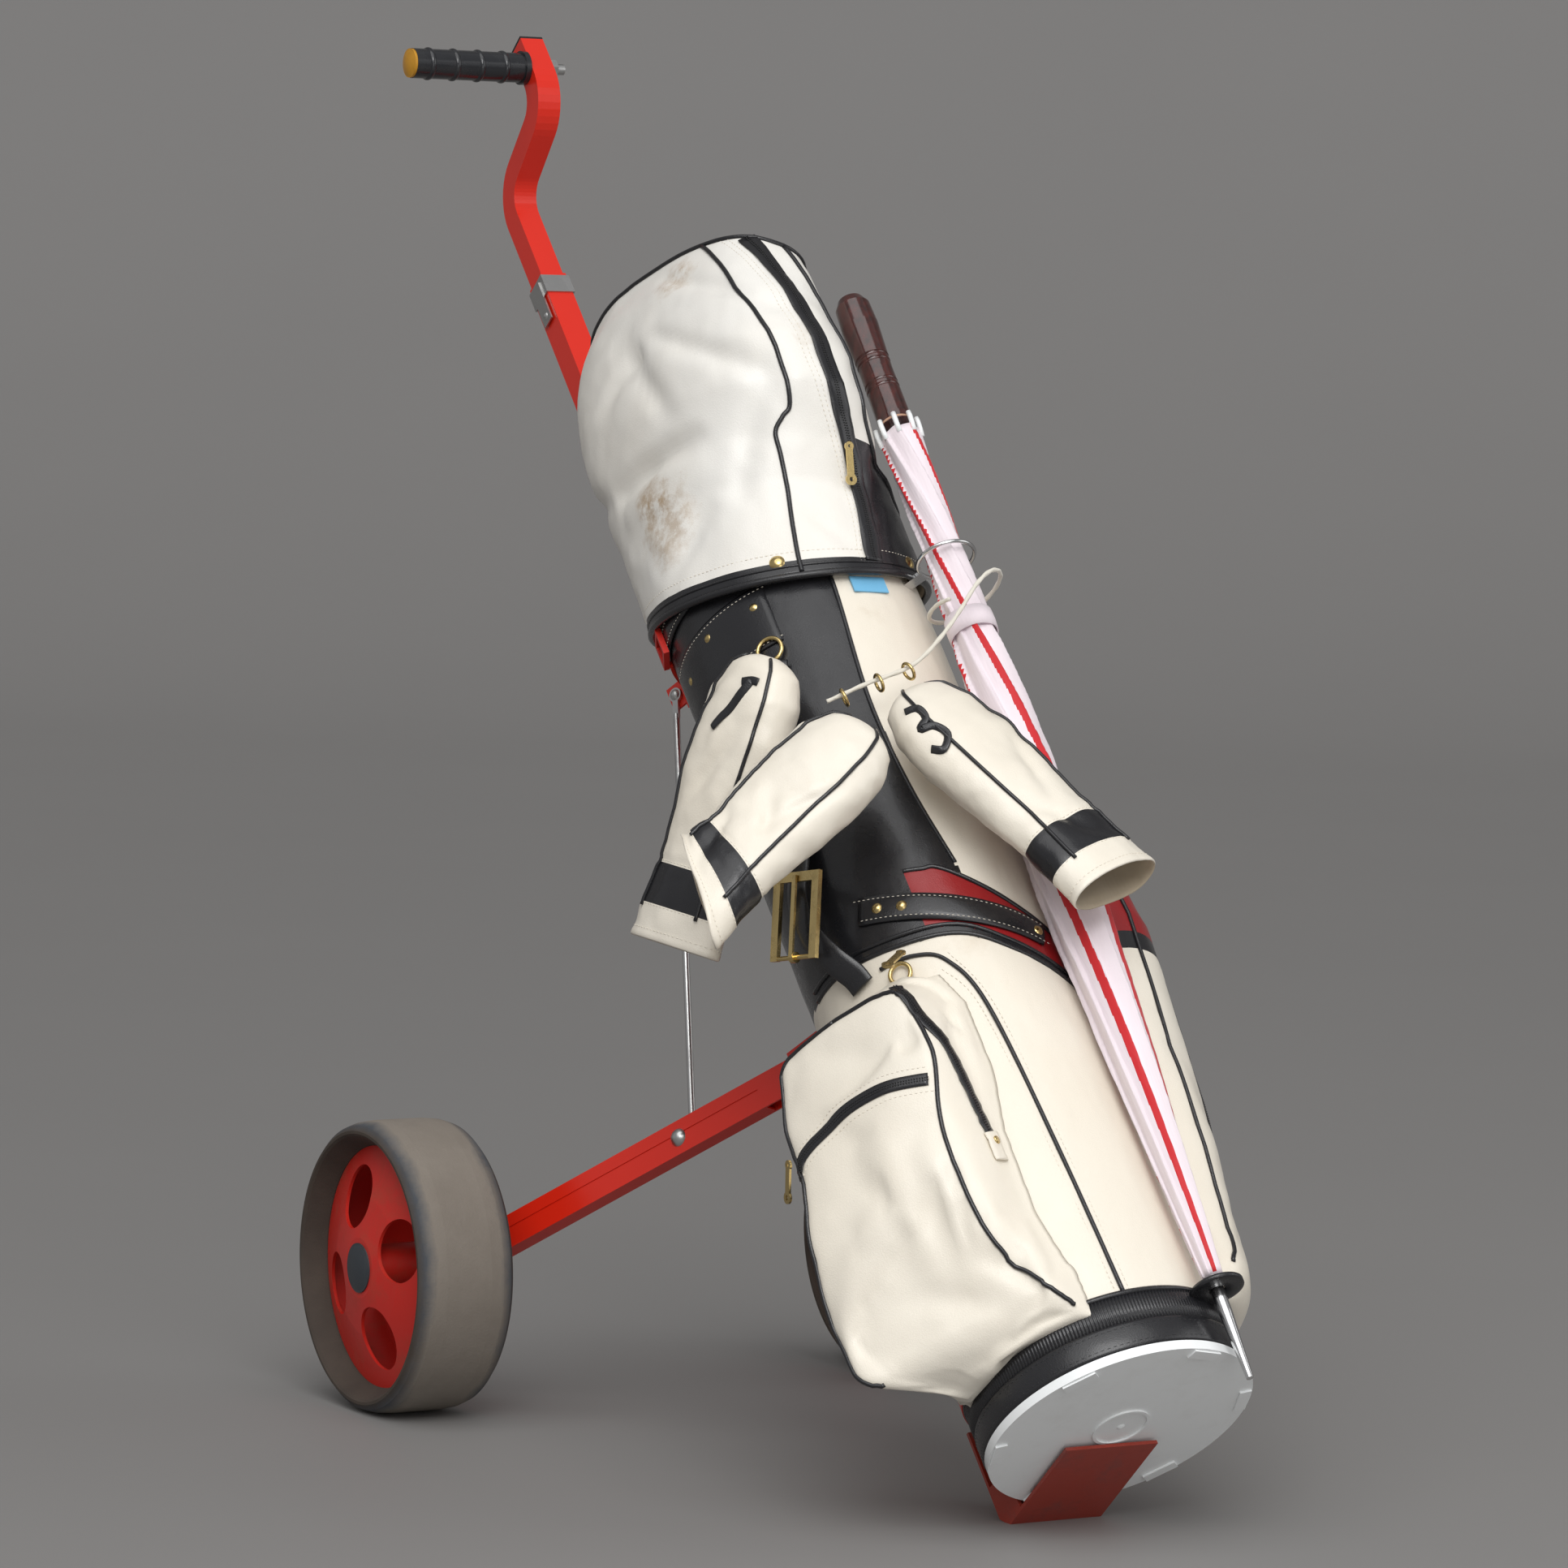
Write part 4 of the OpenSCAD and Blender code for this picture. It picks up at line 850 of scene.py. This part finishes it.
hoodSet = {"rim": 782.0, "rise": 0.42, "rimAt": 238.0, "roof": 1110.0, "pitch": 0.282, "roofAt": 281.0,
           "count": 144, "rows": 72, "skin": 2.5, "tilt": 0.42, "raised": 16.0, "slack": 1.5, "band": 0.028,
           "black": 0.38, "tall": 330}
hoodRows = [(0, 117, 246.5, 12.5, 0), (0.13, 116, 251, 12, 1), (0.26, 112, 257, 12, 1), (0.38, 109, 275, 10, -2),
            (0.51, 105, 301, 10, -7), (0.63, 102, 310, 12, -7), (0.76, 99, 304, 16, 0), (0.88, 93, 294, 24, 10),
            (1, 80, 284, 38, 20)]
hoodFolds = [((-105, 0.38), (-44, 0.41), -6.5, 9), ((-100, 0.30), (-48, 0.33), 3.5, 12),
             ((-44, 0.72), (-16, 0.52), -5, 9), ((-12, 0.56), (-36, 0.24), -4, 9),
             ((-70, 0.80), (-52, 0.50), -4, 11), ((18, 0.74), (36, 0.5), -5, 9),
             ((56, 0.48), (24, 0.34), -4.5, 8), ((-30, 0.92), (-8, 0.72), -4, 8),
             ((-95, 0.62), (-60, 0.70), -4, 10), ((-16, 0.20), (2, 0.06), -2.5, 7),
             ((70, 0.72), (48, 0.6), -4, 10), ((-78, 0.10), (-52, 0.22), -3, 9),
             ((100, 0.5), (140, 0.44), -4, 12), ((-150, 0.5), (-118, 0.4), -4, 12)]
roofSteps = ((0.965, 3.2), (0.9, 5.2), (0.78, 6.8), (0.6, 8.4), (0.35, 9.6), (0.1, 10))  # share, height
leftPipeRun = [(0.01, -25), (0.06, -24), (0.15, -21.3), (0.24, -18.5), (0.32, -17.5), (0.38, -17.2),
               (0.418, -13.8), (0.45, -11), (0.56, -11), (0.65, -12.2), (0.82, -13.2),
               (0.99, -12)]  # share of the height, angle
rightPipeRun = [(0.01, 74), (0.1, 72), (0.2, 62), (0.28, 42), (0.34, 27), (0.42, 18), (0.52, 15), (0.65, 14),
                (0.82, 12), (0.99, 10)]
zipRun = [(0.03, 8.2), (0.13, 10), (0.25, 10.8), (0.37, 8.2), (0.46, 4.9), (0.56, 2.6), (0.68, 1.6),
          (0.82, 0.9), (0.985, -1)]


def hoodUp(v, s, x):
    rim = hoodSet["rim"] + hoodSet["rise"] * (hoodSet["rimAt"] - s)
    back = max(0, 164 - s)
    roof = hoodSet["roof"] + hoodSet["pitch"] * (hoodSet["roofAt"] - s) - back * back * 0.0021
    roof += hoodSet["raised"] - hoodSet["tilt"] * x
    return rim + v * (roof - rim)


def foldDepth(angle, v):
    tall = hoodSet["tall"]
    return sum(crease((angle * 2, v * tall), (a0 * 2, v0 * tall), (a1 * 2, v1 * tall), hoodSet["slack"] * depth,
                      width, 0.15) for (a0, v0), (a1, v1), depth, width in hoodFolds)


def hoodRing(v, inset=0.0, shrink=1.0, lift=0.0):
    wide, front, back, shift = (upDown([(q[0], q[k]) for q in hoodRows], v) for k in (1, 2, 3, 4))
    taper = 0.45 * v
    power = 2 / (2 + v)
    middle, half = (front + back) / 2, (front - back) / 2
    still = min(1, v / 0.06) * min(1, max(0, (1.04 - v) / 0.1))
    ring = []
    for i in range(hoodSet["count"]):
        a = 2 * math.pi * i / hoodSet["count"]
        ux = math.copysign(abs(math.sin(a)) ** power, math.sin(a))
        uy = math.copysign(abs(math.cos(a)) ** power, math.cos(a))
        x = wide * ux * (1 - taper * (uy + 1) / 2)
        s = half * uy
        angle = math.degrees(math.atan2(x + shift, s + middle + cart["bagY"]))
        soft = foldDepth(angle, v) + 1.8 * bump((x / 90, s / 90, v * 3), 1.6)
        soft = min(soft + 0.7 * bump((x / 30, s / 30, v * 9), 1.4), 3.0) * still
        size = math.hypot(x, s) or 1
        grow = (size + soft - inset) / size * shrink
        s2 = middle + s * grow
        ring.append(place(shift + x * grow, -s2, hoodUp(v, s2, shift + x * grow) + lift))
    return ring


def turnOf(p):  # angle round the bag of a point in the scene
    y, z = p.y * 1000 + midY, p.z * 1000
    return math.degrees(math.atan2(p.x * 1000, cart["bagY"] - y * leanCos + z * leanSin))


def makeHood():
    rows, skin = hoodSet["rows"], hoodSet["skin"]
    outside = [hoodRing(k / rows) for k in range(rows + 1)]
    roof = [hoodRing(1, 0, share, lift) for share, lift in roofSteps]
    inRoof = [hoodRing(1, skin, share, lift - skin) for share, lift in reversed(roofSteps)]
    inside = [hoodRing(k / rows, skin) for k in range(rows, -1, -2)]
    rings = inRoof + inside + outside + roof
    verts, faces = loft(rings)
    start = len(inRoof) + len(inside)
    which = []
    for k in range(len(rings) - 1):
        v = (k - start) / rows
        for i in range(hoodSet["count"]):
            face = faces[len(which)]
            angle = turnOf((verts[face[0]] + verts[face[2]]) / 2)
            front = v < hoodSet["black"] and upDown(zipRun, v) < angle < upDown(rightPipeRun, v)
            which.append(2 if k < start else 1 if v < hoodSet["band"] or front else 0)
    shell = addPiece("hoodShell", verts, faces, ["hood_vinyl", "black_vinyl", "lining"], which + [2, 0])
    return finishPiece(shell, "hood", ("hood",))


hood = makeHood()
hoodTree = treeOf(hood)


def hoodAt(v, angle, lift):  # a place on the hood at a share of its height and an angle round the bag
    ring = hoodRing(v)
    turns = [turnOf(p) for p in ring]
    for k, p in enumerate(ring):
        other = (k + 1) % len(ring)
        off, step = (turns[k] - angle + 180) % 360 - 180, (turns[other] - turns[k] + 180) % 360 - 180
        if step and 0 <= -off / step <= 1 and abs(off) < 30:
            return onto(hoodTree, p.lerp(ring[other], -off / step), lift)
    return onto(hoodTree, ring[0], lift)


def hoodLine(points, lift, steps=6):  # points of share of the height and angle
    return [hoodAt(q.x, q.y, lift) for q in smooth([(v, a, 0) for v, a in points], steps)]


roofPipe = smooth([hoodAt(0.99, a, 0.6) for a in range(-150, 151, 6)], 3)
tubes("hoodPiping", [hoodLine(leftPipeRun, 0.6), hoodLine(rightPipeRun, 0.6), roofPipe], 2.1, body="hood")
tubes("hoodRim", [hoodRing(0)], 3.2, body="hood", closed=True)
tubes("hoodRimTop", [hoodRing(hoodSet["band"])], 1.2, body="hood", closed=True)
makeZip("hoodZip", hoodTree, hoodLine(zipRun, 0.5), "hood", zipSet["hoodWidth"])
beads("hoodStitches", [hoodLine([(v, a - off) for v, a in zipRun], 0.2) for off in (4.6, 6.4)]
      + [hoodLine([(0.065, a) for a in range(-170, 171, 10)], 0.2, 2)], "hood", body="hood")
print("hood made")

# Head covers: soft mitts with piping, a black band and an open mouth

coverSet = {"sides": 80, "step": 3.5, "wall": 2.6, "mouth": 250.0, "bandFrom": 186.0, "bandTo": 222.0,
            "pipe": 42.0, "piping": 1.7, "limp": 1.4, "round": 0.7}
coverRows = [(0, 10, 8), (2, 17, 12), (6, 26, 17), (12, 34, 21), (35, 45.5, 27), (75, 49, 29), (120, 46.5, 27),
             (170, 43, 24), (250, 48, 22)]
coverPlaces = {1: ((-114, -236, 695), (-186, -76, 537), (-0.9, -0.3, 0)),
               2: ((-90, -291, 575), (-234, -221, 483), (-0.45, -0.85, 0.2)),
               3: ((-29, -277, 621), (57, -323, 389), (0.1, -1, 0))}
coverFolds = {1: ((60, 60, 140, 110, -3.2), (95, 30, 150, 60, -2.6), (30, 120, 70, 150, -2)),
              2: ((70, 40, 150, 75, -3.2), (110, 100, 160, 60, -2.8), (160, 120, 240, 100, -3)),
              3: ((90, 60, 170, 95, -2.6), (150, 130, 210, 80, -2.6), (40, 30, 70, 60, -2))}
coverCut = {1: (0, 0), 2: (0.06, 0.32), 3: (0, 0)}  # share by which the mouth is short below and above


class Cover:
    def __init__(self, number):
        tip, to, face = (Vector(v) for v in coverPlaces[number])
        self.number, self.tip = number, tip
        self.x = (to - tip).normalized()
        self.y = face.cross(self.x).normalized()
        self.z = self.x.cross(self.y)

    def at(self, along, turn, inset=0.0, lift=0.0):  # a place on the skin, turn 90 in the middle of the face
        wide, thick = (upDown([(q[0], q[k]) for q in coverRows], along) for k in (1, 2))
        a = math.radians(turn)
        low, high = coverCut[self.number]
        reach = 1 - low - (high - low) * (1 - math.cos(a)) / 2 * (along / coverSet["mouth"]) ** 2
        flat = Vector((wide * math.copysign(abs(math.cos(a)) ** 0.9, math.cos(a)),
                       thick * math.copysign(abs(math.sin(a)) ** 0.9, math.sin(a))))
        calm = min(1, along / 25)
        soft = 2.2 * bump((along / 40, flat.x / 40 + self.number * 7, flat.y / 40), 1.0) * calm
        turned = coverSet["round"]
        for x0, t0, x1, t1, depth in coverFolds[self.number]:
            soft += crease((along, turn % 360 * turned), (x0, t0 * turned), (x1, t1 * turned),
                           coverSet["limp"] * depth, 7)
        if coverSet["bandFrom"] - 3 < along < coverSet["bandFrom"] + 2:
            soft -= 0.8
        if along > coverSet["mouth"] - 7:
            soft += 0.7
        flat = flat + flat.normalized() * (soft - inset + lift)
        return place(*(self.tip + self.x * along * reach + self.y * flat.x + self.z * flat.y))


def makeCover(number):
    cover, sides, mouth, wall = Cover(number), coverSet["sides"], coverSet["mouth"], coverSet["wall"]
    alongs = [0, 1, 2.5, 5, 8, 12]
    while alongs[-1] + coverSet["step"] < mouth - 1:
        alongs.append(alongs[-1] + coverSet["step"])
    alongs.append(mouth)
    turns = [i * 360 / sides for i in range(sides)]
    outer = [[cover.at(x, t) for t in turns] for x in alongs]
    lip = [[cover.at(mouth + 1.2, t, wall / 2) for t in turns]]
    inner = [[cover.at(x, t, wall) for t in turns] for x in reversed(alongs) if x > 34]
    which = []
    for k in range(len(outer) + len(inner)):
        banded = k < len(outer) and coverSet["bandFrom"] < alongs[k] < coverSet["bandTo"]
        which += [2 if k >= len(outer) else 1 if banded else 0] * sides
    name, body = "cover" + str(number), "cover_" + str(number)
    skin = addPiece(name, *loft(outer + lip + inner), ["cream_vinyl", "black_vinyl", "lining"], which + [0, 2])
    finishPiece(faceOutwards(skin), body, ("headcover_" + str(number),))
    pipes = [[cover.at(x, 90 + side * coverSet["pipe"], 0, 0.8) for x in alongs[2:] if x < mouth - 24]
             for side in (-1, 1)]
    tubes(name + "Piping", pipes, coverSet["piping"], body=body)
    rings = [[cover.at(x, t, 0, lift) for t in range(0, 361, 6)] for x, lift in
             ((mouth - 7, 0.3), (coverSet["bandFrom"] - 1, 0.2), (coverSet["bandTo"] + 1, 0.2))]
    beads(name + "Stitches", rings, "hood", body=body)
    return cover


covers = {number: makeCover(number) for number in coverPlaces}
numerals = (("numeralOne", 1, 8, [(24, 72), (46, 84), (70, 97)]),
            ("numeralOneFlag", 1, 7, [(27, 84), (24, 72), (24, 62)]),
            ("numeralThree", 3, 7, [(28, 150), (34, 132), (46, 134), (50, 150), (56, 134), (70, 130), (78, 148),
                                    (70, 160)]))  # name, cover, width, places along the cover and round it
for name, number, width, points in numerals:
    cover, places = covers[number], smooth([(x, t, 0) for x, t in points], 6)
    line = [cover.at(q.x, q.y, 0, 0.6) for q in places]
    outs = [(p - place(*(cover.tip + cover.x * q.x))).normalized() for p, q in zip(line, places)]
    ribbon(name, line, outs, width, 1.1, body="cover_" + str(number))
print("head covers made")

# Furled umbrella

umbrellaSet = {"top": (87, -265.5, 1065), "low": (54, -242.5, 66), "pleats": 8, "sides": 192, "rows": 150,
               "length": 850.0, "step": 0.2, "tie": (632.0, 642, 652.0), "red": (1, 4, 6), "ring": 861.5}
umbrellaShape = [(0, 9), (60, 13), (200, 21), (360, 27), (480, 28), (590, 24.6), (680, 19), (740, 18),
                 (800, 18.8), (850, 19.4)]
ribTip = ((842, 17.5), (850, 18.2), (857, 18.5), (862, 18.2))
bootShape = ((-8.4, 6.6), (-8, 7.4), (-7.6, 20), (-8.6, 22), (-12, 22), (-12.4, 20), (-12.2, 7.4), (-11.6, 6.6))
umbrellaWay = (Vector(umbrellaSet["top"]) - Vector(umbrellaSet["low"])).normalized()
umbrellaSide = umbrellaWay.orthogonal().normalized()
umbrellaOver = umbrellaWay.cross(umbrellaSide)


def onUmbrella(along, turn, r):
    a = math.radians(turn)
    p = Vector(umbrellaSet["low"]) + umbrellaWay * along
    return place(*(p + umbrellaSide * (r * math.cos(a)) + umbrellaOver * (r * math.sin(a))))


def pleat(along, turn):  # which fold of cloth, and how far across it
    h = along / umbrellaSet["length"]
    fold = (turn + 60 * h + 150 * h ** 3) / 360 * umbrellaSet["pleats"]
    return int(fold // 1) % umbrellaSet["pleats"], fold % 1


def canopyRadius(along, turn):
    full, step = upDown(umbrellaShape, along), umbrellaSet["step"]
    number, across = pleat(along, turn)
    rise = across ** 1.6 if across < 0.94 else (1 - across) / 0.06 * 0.9 ** 1.6
    pinch = 1 - 0.10 * math.exp(-((along - umbrellaSet["tie"][1]) / 16) ** 2)
    wave = 0.035 * bump((along / 60, number * 3.1, 0), 1.0)
    wave += 0.02 * bump((along / 18, number * 5.3, across * 2), 1.0)
    return min(full * pinch * (1 - step + step * rise + wave), full)


def makeCanopy():
    which, rows, sides = [], umbrellaSet["rows"], umbrellaSet["sides"]
    turns = [i * 360 / sides for i in range(sides)]
    alongs = [0.5 + k * (umbrellaSet["length"] - 1) / rows for k in range(rows + 1)]
    rings = [[onUmbrella(along, t, canopyRadius(along, t)) for t in turns] for along in alongs]
    for along in alongs[:-1]:
        for i in range(sides):
            number, across = pleat(along, (i + 0.5) * 360 / sides)
            wide = 0.45 + 0.2 * along / umbrellaSet["length"]
            which.append(1 if number in umbrellaSet["red"] and wide < across < 0.93 else 0)
    piece = addPiece("canopy", *loft(rings), ["canopy_cloth", "red_cloth"], which + [0, 0])
    finishPiece(faceOutwards(piece), "umbrella", ("umbrella_canopy",))


def roundUmbrella(name, outline, count, mat, body, replaced):  # outline of places along and radii
    rings = [[onUmbrella(along, i * 360 / count, r) for along, r in outline] for i in range(count)]
    sealed(name, rings, mat, body, replaced, True)


makeCanopy()
tieFrom, tieMiddle, tieTo = umbrellaSet["tie"]
r = upDown(umbrellaShape, tieMiddle) * 0.9 + 0.4
tieShape = ((tieFrom, r + 0.2), (tieFrom, r + 1.3), (tieMiddle, r + 1.8), (tieTo, r + 1.3), (tieTo, r + 0.2))
roundUmbrella("tie", tieShape, 96, "canopy_cloth", "umbrella", ("umbrella_tie",))
tubes("ribTips", [[onUmbrella(along, k * 45 + 12, r) for along, r in ribTip] for k in range(8)], 2.3,
      "white_plastic", "umbrella")
tubes("handleRing", [[onUmbrella(umbrellaSet["ring"], k * 7.5, 13.4) for k in range(48)]], 1.3, "pale_wood",
      "umbrella", closed=True)
roundUmbrella("boot", bootShape, 64, "black_vinyl", "cart_frame", ("umbrella_boot",))
bootLine = smooth([onBag(21, 55, cart["bagR"] + 3), onBag(24, 56, cart["bagR"] + 6),
                   onUmbrella(-10, 0, 0).lerp(onBag(24, 56, cart["bagR"] + 4), 0.42)])
ribbon("bootTongue", bootLine, [(place(0, 0, 10) - place(0, 0, 0)).normalized()] * len(bootLine), 28, 2.6)
print("umbrella made")

# Straps

strapSet = {"belt": (-57, 20, 25.0), "upper": (119, 829.0, 20.0), "cuff": (-43, -112, 765.0, 60.0), "thick": 2.4,
            "cuffThick": 0.9, "shoulder": (24, 2.6), "slope": 0.78, "beltUp": 467}
strapRoute = [(-50, 716, 112.2), (-54, 690, 112.2), (-58, 650, 112.2), (-62, 610, 112.2), (-67, 570, 113),
              (-72, 535, 118), (-75, 510, 126), (-76, 485, 131), (-75, 460, 130), (-72, 436, 124),
              (-69, 418, 115), (-68, 406, 111)]  # angle round the bag, height, radius


def outAt(angle):
    return (onBag(angle, 0, 10) - onBag(angle, 0, 0)).normalized()


def strapOnBag(name, first, last, up, width, thick, lift, rowsOff, replaced=()):
    steps = round(abs(last - first) / 3)
    angles = [first + (last - first) * k / steps for k in range(steps + 1)]

    def laid(off, rise):
        return [onBag(a, up(a) + off, cart["bagR"] + rise) for a in angles]

    ribbon(name, laid(0, lift), [outAt(a) for a in angles], width, thick, replaced=replaced)
    beads(name + "Stitches", [laid(off, lift + thick * 1.22) for off in rowsOff], "pocket")


beltFrom, beltTo, beltWidth = strapSet["belt"]
strapOnBag("carryBelt", beltFrom, beltTo, lambda a: strapSet["beltUp"] - (a - beltFrom) * strapSet["slope"],
           beltWidth, strapSet["thick"], 0.7, (-9.5, 9.5), ("carry_belt",))
half, upperUp, upperWidth = strapSet["upper"]
strapOnBag("upperStrap", -half, half, lambda a: upperUp, upperWidth, strapSet["thick"], 0.6, (-7, 7),
           ("upper_strap",))
cuffFrom, cuffTo, cuffUp, cuffWidth = strapSet["cuff"]
strapOnBag("cuff", cuffFrom, cuffTo, lambda a: cuffUp, cuffWidth, strapSet["cuffThick"], 0.6, (-26, 26))
strapLine = smooth([onBag(a, t, r) for a, t, r in strapRoute], 6)
strapOuts = [outAt(q.x) for q in smooth([(a, 0, 0) for a, t, r in strapRoute], 6)]
ribbon("shoulderStrap", strapLine, strapOuts, *strapSet["shoulder"], replaced=("shoulder_strap",))
print("straps made")
